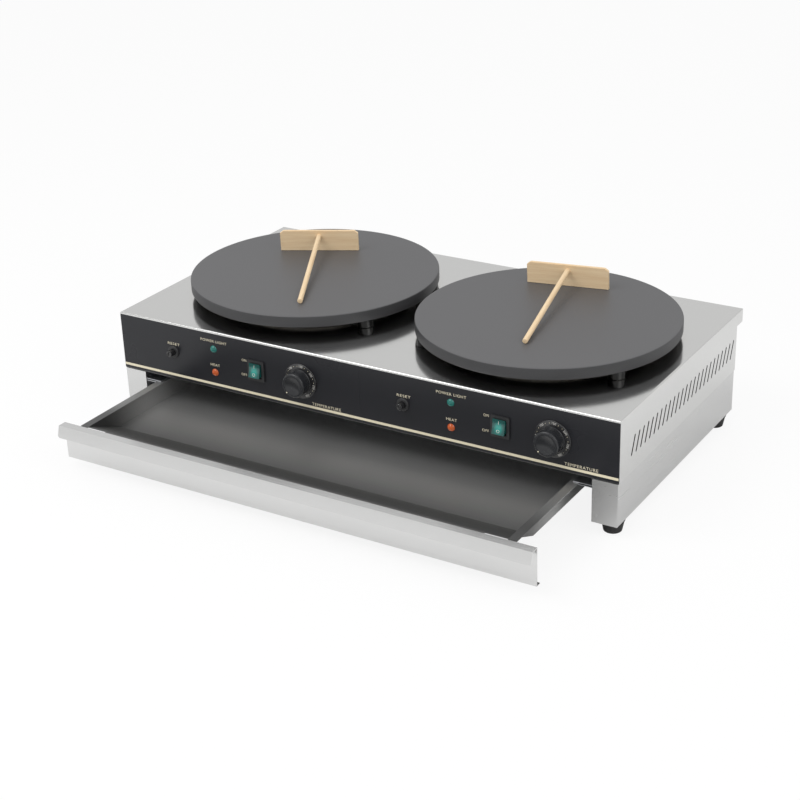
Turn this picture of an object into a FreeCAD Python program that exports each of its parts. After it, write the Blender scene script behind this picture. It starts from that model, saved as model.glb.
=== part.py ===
import FreeCAD, Part
import math
import os

# Double electric crepe maker, in millimetres.
# X runs to the right, Y to the back, Z up. The origin is on the counter,
# under the centre of the housing. The drawer is drawn partly out.

Vector = FreeCAD.Vector
X_AXIS = Vector(1, 0, 0)
Y_AXIS = Vector(0, 1, 0)
Z_AXIS = Vector(0, 0, 1)
SIDES = (("left", -1), ("right", 1))

# Clearances
RUNNING_GAP = 0.05      # radial, shaft in its bore
SLIP_GAP = 0.3          # between pieces that move past each other
SEAT_GAP = 0.1          # between pieces that are assembled together
THROUGH = 2.0           # how far a cutter runs past a face

# How finely the round pieces are drawn
FLATS = 16              # around a small bar or hole
TURNED_FLATS = 28       # around a turned piece that shows
ARC_STEP = 15.0         # degrees of one step along a bent tube

# Housing and base
HOUSING_WIDTH = 862.0
HOUSING_DEPTH = 430.0
HOUSING_HEIGHT = 96.0
SHEET = 1.2
BEND_RADIUS = 2.0
FRONT_FOLD = 3.3        # height of the deck's edge above the fascia
REAR_OVERHANG = 22.0
REAR_LIP_DROP = 22.0
SEAM_GAP = 0.8          # shadow gap between the housing and the base
BASE_HEIGHT = 67.0
BASE_INSET = 1.0
POST_WIDTH = 39.0
BASE_FLANGE = 25.0
FLOOR_FLANGE = 14.0
REAR_TAB = 14.0

# Slanted vents in the housing's sides
VENT_COUNT = 25
VENT_PITCH = 15.3
VENT_WIDTH = 3.6
VENT_RISE = 27.0
VENT_RUN = 11.0
VENT_FRONT = 39.7       # from the housing's front to the first vent's foot
VENT_HEIGHT = 27.5      # from the seam to the foot of the vents

# Vents and screws in the rear panel
REAR_VENT_COUNT = 9
REAR_VENT_PITCH = 12.0
REAR_VENT_WIDTH = 4.0
REAR_VENT_LENGTH = 34.0
REAR_VENT_X = 250.0
REAR_VENT_HEIGHT = 30.0
SCREW_RADIUS = 2.0
SCREW_HEAD_RADIUS = 3.8
SCREW_HEAD = 2.2
SCREW_LENGTH = 8.0
REAR_SCREW_EDGE = 31.0      # from the housing's side to the outer screws
REAR_SCREW_INNER = 140.0    # from the middle to the inner ones
REAR_SCREW_OUTER = HOUSING_WIDTH / 2 - REAR_SCREW_EDGE
REAR_SCREWS_X = (-REAR_SCREW_OUTER, -REAR_SCREW_INNER, REAR_SCREW_INNER, REAR_SCREW_OUTER)

# Feet
FOOT_HEIGHT = 20.0
FOOT_TOP_RADIUS = 17.5
FOOT_BOTTOM_RADIUS = 13.5
FOOT_INSET_X = 19.0
FOOT_INSET_Y = 26.0
FOOT_SCREW_RADIUS = 3.0
FOOT_RECESS_RADIUS = 7.0
FOOT_RECESS = 9.0

# Baking plates
PLATE_RADIUS = 200.0
PLATE_THICKNESS = 18.0
PLATE_PITCH = 419.0
PLATE_CENTRE_Y = 11.5
PLATE_RISE = 13.0       # from the deck to the plate's underside
PLATE_EDGE = 1.2
PLATE_RECESS_RADIUS = 168.0
PLATE_RECESS = 5.0
PLATE_BOSS_RADIUS = 14.0
SPACER_RADIUS = 12.5
SPACER_CIRCLE = 185.0
SPACER_ANGLES = (-32.0, 32.0, 148.0, 212.0)
STUD_RADIUS = 4.0
STUD_DEPTH = 9.0
STUD_TAIL = 12.0
NUT_RADIUS = 7.5
NUT_HEIGHT = 6.5

# Tubular heating element, one tube in two rings
HEATER_RADIUS = 4.0
HEATER_OUTER_RING = 140.0
HEATER_INNER_RING = 85.0
HEATER_START = 108.0
HEATER_LEG_BEND = 14.0
HEATER_LEG = 42.0
HEATER_HOLE_RADIUS = 7.0
HEATER_SIDES = 6
CLAMP_THICKNESS = 2.0
CLAMP_ARM_WIDTH = 20.0
CLAMP_ARM_LENGTH = 152.0
CLAMP_HUB_RADIUS = 34.0
CLAMP_ANGLES = (90.0, 210.0, 330.0)

# Control panel: heights from the seam, X from each plate's centre line
FASCIA = 1.5
FASCIA_SEAM_X = 15.5
CONTROL_HEIGHT = 47.5
LAMP_OFFSET = 19.5
RESET_X = -119.0
LAMP_X = -40.0
SWITCH_X = 40.0
KNOB_X = 121.5
PANEL_FLANGE = 16.0

# Thermostat, dial and knob
DIAL_RADIUS = 28.0
DIAL_THICKNESS = 2.4
DIAL_EDGE = 0.8
KNOB_RADIUS = 20.0
KNOB_TAPER = 0.7
KNOB_FRONT = 23.0       # from the fascia to the knob's rim
KNOB_EDGE = 3.5
KNOB_DISH_RADIUS = 12.5
KNOB_DISH = 3.0
SHAFT_RADIUS = 3.0
SHAFT_HOLE_RADIUS = 4.0
SHAFT_IN_KNOB = 14.0
THERMOSTAT_WIDTH = 44.0
THERMOSTAT_HEIGHT = 34.0
THERMOSTAT_DEPTH = 30.0
TERMINAL_WIDTH = 6.3
TERMINAL_THICKNESS = 0.8
TERMINAL_LENGTH = 9.0
BULB_RADIUS = 3.0
BULB_LENGTH = 70.0
BULB_CIRCLE = 112.0
CAPILLARY_RADIUS = 1.0
CAPILLARY_BEND = 12.0
CAPILLARY_X = 52.0
CAPILLARY_HOLE_RADIUS = 4.0
CAPILLARY_HEIGHT = 58.0
CAPILLARY_SIDES = 5

# Rocker switch
SWITCH_WIDTH = 30.0
SWITCH_HEIGHT = 33.0
SWITCH_FRAME = 3.0
SWITCH_FRAME_WALL = 3.0
SWITCH_BODY_DEPTH = 26.0
SWITCH_WALL = 1.6
SWITCH_CORNER = 2.0
ROCKER_ANGLE = 10.0
ROCKER_REACH = 12.0     # from the pivot to the rocker's face
ROCKER_PIVOT = 4.0      # behind the fascia's face
ROCKER_GAP = 0.6
ROCKER_DISH = 1.2
ROCKER_BACK_SHARE = 0.55
PIVOT_RADIUS = 1.2
PIVOT_DEPTH = 1.0       # how far the rocker's pivots reach into the case

# Lamps and the reset button of the limiter
LAMP_RADIUS = 6.0
LAMP_DOME = 4.0
LAMP_STEM_RADIUS = 3.8
LAMP_STEM = 4.0
LAMP_BODY_RADIUS = 5.0
LAMP_BODY = 26.0
COLLAR_RADIUS = 10.0
COLLAR_THICKNESS = 3.0
CAP_RADIUS = 5.3
CAP_FRONT = 13.0
CAP_WALL = 0.9
CAP_SLOT = 1.4
CAP_SLOT_DEPTH = 1.2
CAP_FACE = 3.0
BUSH_RADIUS = 4.1
BUSH_FRONT = 5.0
PIN_RADIUS = 1.8
PIN_FRONT = 8.0
PIN_BACK = 3.0
PIN_TRAVEL = 2.0
LIMITER_WIDTH = 28.0
LIMITER_HEIGHT = 24.0
LIMITER_DEPTH = 22.0

# Mains entry
GLAND_X = 330.0
GLAND_HEIGHT = 30.0
GLAND_RADIUS = 10.0
GLAND_BORE_RADIUS = 4.5
GLAND_NUT_RADIUS = 14.0
GLAND_NUT = 6.0
GLAND_DOME = 14.0
GLAND_INSIDE = 12.0
BLOCK_WIDTH = 64.0
BLOCK_DEPTH = 22.0
BLOCK_HEIGHT = 20.0
BLOCK_WAYS = 5
BLOCK_WELL_RADIUS = 3.2
BLOCK_WELL = 8.0
BLOCK_SETBACK = 70.0

# Drawer
DRAWER_OUT = 182.0      # how far it is drawn out here
DRAWER_CLOSED_GAP = 0.8
DRAWER_FRONT_WIDTH = 801.0
DRAWER_FRONT_HEIGHT = 57.0
DRAWER_FRONT_TOP = 12.5     # below the seam
HANDLE_REACH = 14.0
HANDLE_DROP = 18.0
HANDLE_FLARE = 5.0
HANDLE_CORNER = 4.0
FRONT_HEM = 8.0
TRAY_WIDTH = 740.0
TRAY_RIM = 12.0
TRAY_DEPTH = 30.0
TRAY_LENGTH = 392.0
TRAY_SLOPE_RUN = 70.0
TRAY_WELD_FLANGE = 14.0
TAB_WIDTH = 36.0
RIVET_RADIUS = 1.6
RIVET_HEAD_RADIUS = 4.5
RIVET_HEAD = 1.2
RIVETS_X = (-300.0, -100.0, 100.0, 300.0)
RUNNER_GRIP = 8.0       # how far the runner reaches over the tray's rim
RUNNER_FOOT = 12.0

# Batter spreaders: turn from the front, and the blade's foot on the plate
BLADE_LENGTH = 130.0
BLADE_HEIGHT = 35.5
BLADE_THICKNESS = 5.0
BLADE_CHAMFER_X = 6.0
BLADE_CHAMFER_Z = 4.5
HANDLE_RADIUS = 4.0
HANDLE_LENGTH = 236.0
HANDLE_HEIGHT = 26.0
HANDLE_END = 1.2
SPREADERS = {
    "left": (26.3, -253.0, 90.5),
    "right": (11.2, 184.3, 128.2),
}

# Levels and faces that the sizes above set
HALF_WIDTH = HOUSING_WIDTH / 2
FRONT_Y = -HOUSING_DEPTH / 2
BACK_Y = HOUSING_DEPTH / 2
BASE_Z = FOOT_HEIGHT
SEAM_Z = BASE_Z + BASE_HEIGHT
DECK_Z = SEAM_Z + HOUSING_HEIGHT
PLATE_Z = DECK_Z + PLATE_RISE
PLATE_TOP_Z = PLATE_Z + PLATE_THICKNESS
RECESS_Z = PLATE_Z + PLATE_RECESS
HEATER_Z = RECESS_Z - HEATER_RADIUS
CLAMP_TOP_Z = HEATER_Z - HEATER_RADIUS
CLAMP_Z = CLAMP_TOP_Z - CLAMP_THICKNESS
CONTROL_Z = SEAM_Z + CONTROL_HEIGHT
PANEL_Y = FRONT_Y + FASCIA
PANEL_BACK_Y = PANEL_Y + SHEET
SIDE_INSIDE = HALF_WIDTH - SHEET
REAR_INSIDE_Y = BACK_Y - SHEET
BASE_HALF = HALF_WIDTH - BASE_INSET
POST_INNER = BASE_HALF - POST_WIDTH
BASE_BACK_Y = BACK_Y - BASE_INSET
DRAWER_Y = FRONT_Y - DRAWER_CLOSED_GAP - DRAWER_OUT
RIM_Z = SEAM_Z - DRAWER_FRONT_TOP
RUNNER_WEB_X = POST_INNER
SWITCH_CUT_WIDTH = SWITCH_WIDTH - 2 * SWITCH_FRAME_WALL
SWITCH_CUT_HEIGHT = SWITCH_HEIGHT - 2 * SWITCH_FRAME_WALL


def box(x0, x1, y0, y1, z0, z1):
    corner = Vector(min(x0, x1), min(y0, y1), min(z0, z1))
    return Part.makeBox(abs(x1 - x0), abs(y1 - y0), abs(z1 - z0), corner)


def rod(radius, start, axis, length):
    return Part.makeCylinder(radius, length, start, axis)


def fused(shapes):
    whole = shapes[0]
    if len(shapes) > 1:
        whole = whole.multiFuse(shapes[1:])
    return whole.removeSplitter()


def cut_all(shape, cutters):
    return shape.cut(Part.makeCompound(cutters))


def along_x(outline, x0, x1):
    """Solid between x0 and x1 of a closed outline of (y, z) points."""
    points = [Vector(x0, y, z) for y, z in outline]
    face = Part.Face(Part.makePolygon(points + points[:1]))
    return face.extrude(Vector(x1 - x0, 0, 0))


def along_y(outline, y0, y1):
    """Solid between y0 and y1 of a closed outline of (x, z) points."""
    points = [Vector(x, y0, z) for x, z in outline]
    face = Part.Face(Part.makePolygon(points + points[:1]))
    return face.extrude(Vector(0, y1 - y0, 0))


def folded(line, thickness):
    """Closed outline of a sheet whose one face follows the line, on its left."""
    offset = []
    for index, point in enumerate(line):
        normals = []
        for a, b in ((index - 1, index), (index, index + 1)):
            if a >= 0 and b < len(line):
                dx, dy = line[b][0] - line[a][0], line[b][1] - line[a][1]
                length = math.hypot(dx, dy)
                normals.append((-dy / length, dx / length))
        nx = sum(n[0] for n in normals) / len(normals)
        ny = sum(n[1] for n in normals) / len(normals)
        scale = thickness / (nx * nx + ny * ny)
        offset.append((point[0] + nx * scale, point[1] + ny * scale))
    return list(line) + offset[::-1]


def polygon(points):
    return Part.Face(Part.makePolygon(points + points[:1]))


def closed(faces):
    """Solid inside a closed set of flat faces."""
    skin = Part.makeCompound(faces)
    skin.sewShape(0.001)
    solid = Part.Solid(skin.Shells[0])
    if solid.Volume < 0:
        solid.reverse()
    return solid.removeSplitter()


def bar(radius, start, axis, length):
    """Small round bar or hole, with flats in place of a full curve."""
    points = [on_circle(Vector(0, 0, 0), radius, 360 / FLATS * k, 0) for k in range(FLATS)]
    solid = polygon(points).extrude(Z_AXIS * length)
    solid.Placement = FreeCAD.Placement(start, FreeCAD.Rotation(Z_AXIS, axis))
    return solid


def disc(outline, base, axis):
    """Solid of revolution of a closed (radius, height) outline about an axis."""
    points = [Vector(r, 0, h) for r, h in outline]
    solid = polygon(points).revolve(Vector(0, 0, 0), Z_AXIS, 360)
    solid.Placement = FreeCAD.Placement(base, FreeCAD.Rotation(Z_AXIS, axis))
    return solid


def turned(outline, base, axis, sides):
    """The same as a disc, with flats in place of a full curve."""
    rings = []
    for r, h in outline:
        rings.append([on_circle(Vector(0, 0, 0), r, 360 / sides * k, h) for k in range(sides)])
    faces = []
    for index, low in enumerate(rings):
        here, there = outline[index - 1][0], outline[index][0]
        before = rings[index - 1]
        for k in range(sides):
            n = (k + 1) % sides
            if here > 0 and there > 0:
                faces.append(polygon([before[k], before[n], low[n], low[k]]))
            elif here > 0:
                faces.append(polygon([before[k], before[n], low[k]]))
            elif there > 0:
                faces.append(polygon([before[k], low[n], low[k]]))
    solid = closed(faces)
    solid.Placement = FreeCAD.Placement(base, FreeCAD.Rotation(Z_AXIS, axis))
    return solid


def rounded_path(points, radius):
    """Straight runs joined by tangent arcs of one radius."""
    edges = []
    start = points[0]
    for before, corner, after in zip(points, points[1:], points[2:]):
        back = (before - corner).normalize()
        ahead = (after - corner).normalize()
        half = back.getAngle(ahead) / 2
        reach = radius / math.tan(half)
        first = corner + back * reach
        last = corner + ahead * reach
        middle = (back + ahead).normalize()
        depth = radius / math.sin(half) - radius
        edges.append(Part.LineSegment(start, first).toShape())
        edges.append(Part.Arc(first, corner + middle * depth, last).toShape())
        start = last
    edges.append(Part.LineSegment(start, points[-1]).toShape())
    return edges


def tube_along(edges, radius, sides):
    """Tube of a regular many-sided section along runs and arcs that join smoothly."""
    start = edges[0].valueAt(edges[0].FirstParameter)
    across = edges[0].tangentAt(edges[0].FirstParameter)
    upward = Y_AXIS if abs(across.y) < 0.5 else Z_AXIS
    out = across.cross(upward).normalize()
    up = out.cross(across)
    ring = []
    for k in range(sides):
        angle = math.radians(360 / sides * (k + 0.5))
        ring.append(start + (out * math.cos(angle) + up * math.sin(angle)) * radius)
    rings = [ring]
    for edge in edges:
        if isinstance(edge.Curve, Part.Circle):
            sweep = math.degrees(edge.LastParameter - edge.FirstParameter)
            steps = math.ceil(sweep / ARC_STEP)
            centre = edge.Curve.Center
            turn = FreeCAD.Rotation(edge.Curve.Axis, sweep / steps)
            for _ in range(steps):
                rings.append([centre + turn.multVec(point - centre) for point in rings[-1]])
        else:
            run = edge.valueAt(edge.LastParameter) - edge.valueAt(edge.FirstParameter)
            rings.append([point + run for point in rings[-1]])
    faces = [polygon(rings[0]), polygon(rings[-1])]
    for low, high in zip(rings, rings[1:]):
        for k in range(sides):
            n = (k + 1) % sides
            faces.append(polygon([low[k], low[n], high[n], high[k]]))
    return closed(faces)


def plate_centre(sign):
    return Vector(sign * PLATE_PITCH / 2, PLATE_CENTRE_Y, 0)


def on_circle(centre, radius, degrees, z):
    angle = math.radians(degrees)
    return Vector(centre.x + radius * math.cos(angle), centre.y + radius * math.sin(angle), z)


def control_x(sign, offset):
    return sign * PLATE_PITCH / 2 + offset


def save(name, shape):
    shape.exportStep(f"parts/{name}.step")


def slot_outline(width, length):
    """Upright slot with bevelled ends, from its foot at (0, 0)."""
    half = width / 2
    bevel = width * 0.3
    return [
        (-half, 0), (-half + bevel, -bevel), (half - bevel, -bevel), (half, 0),
        (half, length), (half - bevel, length + bevel), (-half + bevel, length + bevel),
        (-half, length),
    ]


def slanted_vents():
    """Cutters for the side vents, one row that runs through both sides."""
    length = math.hypot(VENT_RISE, VENT_RUN)
    lean = math.degrees(math.atan2(VENT_RUN, VENT_RISE))
    reach = HALF_WIDTH + THROUGH
    slot = along_x(slot_outline(VENT_WIDTH, length), -reach, reach)
    slot.rotate(Vector(0, 0, 0), X_AXIS, -lean)
    row = []
    for index in range(VENT_COUNT):
        vent = slot.copy()
        vent.translate(Vector(0, FRONT_Y + VENT_FRONT + index * VENT_PITCH, SEAM_Z + VENT_HEIGHT))
        row.append(vent)
    return row


def deck_holes():
    """Cutters through the deck: spacer studs, heater legs and capillaries."""
    cutters = []
    for _, sign in SIDES:
        centre = plate_centre(sign)
        low = DECK_Z - SHEET - THROUGH
        depth = SHEET + 2 * THROUGH
        for angle in SPACER_ANGLES:
            point = on_circle(centre, SPACER_CIRCLE, angle, low)
            cutters.append(bar(STUD_RADIUS + SEAT_GAP, point, Z_AXIS, depth))
        for point in heater_leg_points(centre):
            cutters.append(bar(HEATER_HOLE_RADIUS, Vector(point.x, point.y, low), Z_AXIS, depth))
        point = Vector(centre.x + CAPILLARY_X, centre.y - BULB_CIRCLE, low)
        cutters.append(bar(CAPILLARY_HOLE_RADIUS, point, Z_AXIS, depth))
    return cutters


def deck_cover():
    """Folded top with vented sides, front edge and boxed rear lip."""
    lip_y = BACK_Y + REAR_OVERHANG
    low = SEAM_Z + SEAM_GAP
    outline = [
        (FRONT_Y, low), (BACK_Y, low), (BACK_Y, DECK_Z - REAR_LIP_DROP),
        (lip_y, DECK_Z - REAR_LIP_DROP), (lip_y, DECK_Z), (FRONT_Y, DECK_Z),
    ]
    shell = along_x(outline, -HALF_WIDTH, HALF_WIDTH)
    bends = []
    for edge in shell.Edges:
        middle = edge.valueAt((edge.FirstParameter + edge.LastParameter) / 2)
        if abs(middle.z - DECK_Z) < 0.01:
            bends.append(edge)
    shell = shell.makeFillet(BEND_RADIUS, bends)
    inside = fused([
        box(-SIDE_INSIDE, SIDE_INSIDE, FRONT_Y + SHEET, lip_y - SHEET,
            low - THROUGH, DECK_Z - SHEET),
        box(-SIDE_INSIDE, SIDE_INSIDE, FRONT_Y - THROUGH, FRONT_Y + SHEET,
            low - THROUGH, DECK_Z - FRONT_FOLD),
    ])
    fascia_step = box(-HALF_WIDTH - THROUGH, HALF_WIDTH + THROUGH, FRONT_Y - THROUGH, PANEL_Y,
                      low - THROUGH, DECK_Z - FRONT_FOLD)
    return cut_all(shell.cut(inside), [fascia_step] + deck_holes() + slanted_vents())


def rear_panel():
    """Back plate with two fields of vents and the mains entry."""
    width = SIDE_INSIDE - SEAT_GAP
    floor_top = SEAM_Z + SHEET + SEAT_GAP
    plate = box(-width, width, REAR_INSIDE_Y, BACK_Y, floor_top, DECK_Z - SHEET - SEAT_GAP)
    cutters = []
    vent = along_y(slot_outline(REAR_VENT_WIDTH, REAR_VENT_LENGTH),
                   REAR_INSIDE_Y - THROUGH, BACK_Y + THROUGH)
    for _, sign in SIDES:
        for index in range(REAR_VENT_COUNT):
            x = sign * REAR_VENT_X + (index - (REAR_VENT_COUNT - 1) / 2) * REAR_VENT_PITCH
            cutter = vent.copy()
            cutter.translate(Vector(x, 0, SEAM_Z + REAR_VENT_HEIGHT))
            cutters.append(cutter)
    start = Vector(GLAND_X, REAR_INSIDE_Y - THROUGH, SEAM_Z + GLAND_HEIGHT)
    cutters.append(bar(GLAND_RADIUS + SEAT_GAP, start, Y_AXIS, SHEET + 2 * THROUGH))
    for x in REAR_SCREWS_X:
        start = Vector(x, REAR_INSIDE_Y - THROUGH, rear_screw_z())
        cutters.append(bar(SCREW_RADIUS + SEAT_GAP, start, Y_AXIS, SHEET + 2 * THROUGH))
    return cut_all(plate, cutters)


def rear_screw_z():
    return SEAM_Z + SHEET + FLOOR_FLANGE / 2


def rear_screws():
    """Pan-head screws that hold the rear panel to the floor's flange."""
    screws = []
    for x in REAR_SCREWS_X:
        face = Vector(x, BACK_Y, rear_screw_z())
        head = turned([
            (0, 0), (SCREW_HEAD_RADIUS, 0), (SCREW_HEAD_RADIUS, SCREW_HEAD / 2),
            (SCREW_HEAD_RADIUS - SCREW_HEAD / 2, SCREW_HEAD), (0, SCREW_HEAD),
        ], face, Y_AXIS, FLATS)
        shank = bar(SCREW_RADIUS, face - Y_AXIS * SCREW_LENGTH, Y_AXIS, SCREW_LENGTH)
        screws.append(fused([head, shank]))
    return Part.makeCompound(screws)


def housing_floor():
    """Tray-shaped floor of the housing, with upturned side and rear flanges."""
    half = SIDE_INSIDE - SEAT_GAP
    front = PANEL_BACK_Y + SEAT_GAP
    back = REAR_INSIDE_Y - SEAT_GAP
    side = folded([
        (-half, SEAM_Z + FLOOR_FLANGE), (-half, SEAM_Z), (half, SEAM_Z), (half, SEAM_Z + FLOOR_FLANGE),
    ], SHEET)
    floor = along_y(side, front, back)
    flange = box(-half, half, back - SHEET, back, SEAM_Z, SEAM_Z + SHEET + FLOOR_FLANGE)
    holes = []
    for x in REAR_SCREWS_X:
        start = Vector(x, back - SHEET - THROUGH, rear_screw_z())
        holes.append(bar(SCREW_RADIUS + SEAT_GAP, start, Y_AXIS, SHEET + 2 * THROUGH))
    return cut_all(fused([floor, flange]), holes)


def panel_cutouts(clearance):
    """Cutters for the controls, through the fascia and the panel behind it."""
    start_y = FRONT_Y - THROUGH
    depth = FASCIA + SHEET + 2 * THROUGH
    cutters = []
    for _, sign in SIDES:
        half_width = SWITCH_CUT_WIDTH / 2 + clearance
        half_height = SWITCH_CUT_HEIGHT / 2 + clearance
        x = control_x(sign, SWITCH_X)
        cutters.append(box(x - half_width, x + half_width, start_y, start_y + depth,
                           CONTROL_Z - half_height, CONTROL_Z + half_height))
        rounds = (
            (RESET_X, 0, BUSH_RADIUS), (KNOB_X, 0, SHAFT_HOLE_RADIUS),
            (LAMP_X, LAMP_OFFSET, LAMP_BODY_RADIUS), (LAMP_X, -LAMP_OFFSET, LAMP_BODY_RADIUS),
        )
        for offset, lift, radius in rounds:
            start = Vector(control_x(sign, offset), start_y, CONTROL_Z + lift)
            cutters.append(bar(radius + clearance, start, Y_AXIS, depth))
    return cutters


def front_panel():
    """Steel plate behind the fascia, with a lip below it and a flange on the floor."""
    low = SEAM_Z + SEAM_GAP
    high = DECK_Z - SHEET - SEAT_GAP
    width = SIDE_INSIDE - SEAT_GAP
    plate = box(-width, width, PANEL_Y, PANEL_BACK_Y, low, high)
    lip = box(-HALF_WIDTH, HALF_WIDTH, FRONT_Y, PANEL_Y, low, low + SHEET)
    bottom = SEAM_Z + SHEET + SEAT_GAP
    flange = box(-width + SHEET + FLOOR_FLANGE, width - SHEET - FLOOR_FLANGE,
                 PANEL_BACK_Y, PANEL_BACK_Y + PANEL_FLANGE, bottom, bottom + SHEET)
    return cut_all(fused([plate, lip, flange]), panel_cutouts(SEAT_GAP))


def fascia(x0, x1):
    """Black control fascia, one of two halves that meet at the seam."""
    low = SEAM_Z + SEAM_GAP + SHEET
    plate = box(x0, x1, FRONT_Y, PANEL_Y, low, DECK_Z - FRONT_FOLD)
    return cut_all(plate, panel_cutouts(SEAT_GAP))


def base_side(sign):
    """Side channel of the base with its front post and foot flange."""
    front = FRONT_Y
    section = folded([
        (BASE_HALF - BASE_FLANGE, SEAM_Z), (BASE_HALF, SEAM_Z),
        (BASE_HALF, BASE_Z), (POST_INNER, BASE_Z),
    ][::-1], SHEET)
    channel = along_y(section, front, BASE_BACK_Y)
    post = box(POST_INNER, BASE_HALF, front, front + SHEET, BASE_Z, SEAM_Z)
    side = fused([channel, post])
    holes = []
    for x, y in foot_places():
        if x > 0:
            start = Vector(x, y, BASE_Z - THROUGH)
            holes.append(bar(FOOT_SCREW_RADIUS + SEAT_GAP, start, Z_AXIS, SHEET + 2 * THROUGH))
    side = cut_all(side, holes)
    if sign < 0:
        side = side.mirror(Vector(0, 0, 0), X_AXIS)
    return side


def base_back():
    """Back plate of the base with flanges on all four edges."""
    half = BASE_HALF - SHEET - SEAT_GAP
    low = BASE_Z + SHEET + SEAT_GAP
    high = SEAM_Z - SHEET - SEAT_GAP
    outside = box(-half, half, BASE_BACK_Y - REAR_TAB, BASE_BACK_Y, low, high)
    inside = box(-half + SHEET, half - SHEET, BASE_BACK_Y - REAR_TAB - THROUGH,
                 BASE_BACK_Y - SHEET, low + SHEET, high - SHEET)
    return outside.cut(inside)


def drawer_runner(sign):
    """Rail that carries the tray's rim in a groove."""
    rim = TRAY_WIDTH / 2
    reach = rim - RUNNER_GRIP
    web = RUNNER_WEB_X
    lower = RIM_Z - SHEET - SLIP_GAP
    upper = RIM_Z + SLIP_GAP
    low = BASE_Z + SHEET
    high = SEAM_Z
    back = BASE_BACK_Y - REAR_TAB - SEAT_GAP
    front = FRONT_Y + SHEET + SEAT_GAP
    parts = [
        box(web, web + SHEET, front, back, low, high),
        box(web, web + RUNNER_FOOT, front, back, low, low + SHEET),
        box(web, web + RUNNER_FOOT / 2, front, back, high - SHEET, high),
        box(reach, web, front, back, lower - SHEET, lower),
        box(reach, web, front, back, upper, upper + SHEET),
    ]
    rail = fused(parts)
    if sign < 0:
        rail = rail.mirror(Vector(0, 0, 0), X_AXIS)
    return rail


def foot_places():
    x = HALF_WIDTH - FOOT_INSET_X
    y = HOUSING_DEPTH / 2 - FOOT_INSET_Y
    return [(-x, -y), (x, -y), (-x, y), (x, y)]


def foot(x, y):
    """Tapered rubber foot with a recess for its screw."""
    body = turned([
        (0, 0), (FOOT_BOTTOM_RADIUS, 0), (FOOT_TOP_RADIUS, FOOT_HEIGHT), (0, FOOT_HEIGHT),
    ], Vector(x, y, 0), Z_AXIS, TURNED_FLATS)
    return cut_all(body, [
        bar(FOOT_RECESS_RADIUS, Vector(x, y, -THROUGH), Z_AXIS, FOOT_RECESS + THROUGH),
        bar(FOOT_SCREW_RADIUS + SEAT_GAP, Vector(x, y, 0), Z_AXIS, FOOT_HEIGHT + THROUGH),
    ])


def foot_screws():
    """Screws and nuts that hold the feet to the base."""
    screws = []
    for x, y in foot_places():
        head_low = FOOT_RECESS - SCREW_HEAD - SEAT_GAP
        head = bar(FOOT_RECESS_RADIUS - 1, Vector(x, y, head_low), Z_AXIS, SCREW_HEAD)
        nut_low = BASE_Z + SHEET
        length = nut_low + NUT_HEIGHT - FOOT_RECESS + SCREW_HEAD
        shank = bar(FOOT_SCREW_RADIUS, Vector(x, y, head_low), Z_AXIS, length)
        nut = hexagon(NUT_RADIUS - 1, Vector(x, y, nut_low), NUT_HEIGHT - 1)
        screws.append(fused([head, shank, nut]))
    return Part.makeCompound(screws)


def hexagon(radius, base, height):
    points = [on_circle(base, radius, 60 * k, base.z) for k in range(6)]
    return Part.Face(Part.makePolygon(points + points[:1])).extrude(Z_AXIS * height)


def baking_plate(sign):
    """Cast iron plate with a thick rim, a recess and a centre boss below."""
    centre = plate_centre(sign)
    base = Vector(centre.x, centre.y, PLATE_Z)
    top = PLATE_THICKNESS
    blank = disc([
        (0, 0), (PLATE_RADIUS, 0), (PLATE_RADIUS, top - PLATE_EDGE),
        (PLATE_RADIUS - PLATE_EDGE, top), (0, top),
    ], base, Z_AXIS)
    recess = rod(PLATE_RECESS_RADIUS, base - Z_AXIS * THROUGH, Z_AXIS, PLATE_RECESS + THROUGH)
    boss = bar(PLATE_BOSS_RADIUS, Vector(base.x, base.y, CLAMP_TOP_Z), Z_AXIS,
               RECESS_Z - CLAMP_TOP_Z)
    plate = fused([blank.cut(recess), boss])
    threads = [bar(STUD_RADIUS, Vector(base.x, base.y, CLAMP_TOP_Z - THROUGH), Z_AXIS,
                   STUD_DEPTH + THROUGH)]
    for angle in SPACER_ANGLES:
        point = on_circle(base, SPACER_CIRCLE, angle, PLATE_Z - THROUGH)
        threads.append(bar(STUD_RADIUS, point, Z_AXIS, STUD_DEPTH + THROUGH))
    return cut_all(plate, threads)


def plate_spacers():
    """Turned steel legs, four between the deck and each plate."""
    legs = []
    for _, sign in SIDES:
        for angle in SPACER_ANGLES:
            base = on_circle(plate_centre(sign), SPACER_CIRCLE, angle, DECK_Z)
            leg = bar(SPACER_RADIUS, base, Z_AXIS, PLATE_RISE)
            legs.append(leg.cut(bar(STUD_RADIUS + SEAT_GAP, base, Z_AXIS, PLATE_RISE)))
    return Part.makeCompound(legs)


def plate_studs():
    """Studs with a nut below the deck, and each clamp's own stud and nut."""
    under = DECK_Z - SHEET
    studs = []
    for _, sign in SIDES:
        centre = plate_centre(sign)
        for angle in SPACER_ANGLES:
            base = on_circle(centre, SPACER_CIRCLE, angle, under)
            length = STUD_TAIL + SHEET + PLATE_RISE + STUD_DEPTH - SEAT_GAP
            stud = bar(STUD_RADIUS, base - Z_AXIS * STUD_TAIL, Z_AXIS, length)
            nut = hexagon(NUT_RADIUS, base - Z_AXIS * NUT_HEIGHT, NUT_HEIGHT)
            studs.append(fused([stud, nut]))
        centre_low = Vector(centre.x, centre.y, CLAMP_Z - NUT_HEIGHT)
        length = NUT_HEIGHT + CLAMP_THICKNESS + STUD_DEPTH - SEAT_GAP
        studs.append(fused([bar(STUD_RADIUS, centre_low, Z_AXIS, length),
                            hexagon(NUT_RADIUS, centre_low, NUT_HEIGHT)]))
    return Part.makeCompound(studs)


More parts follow.
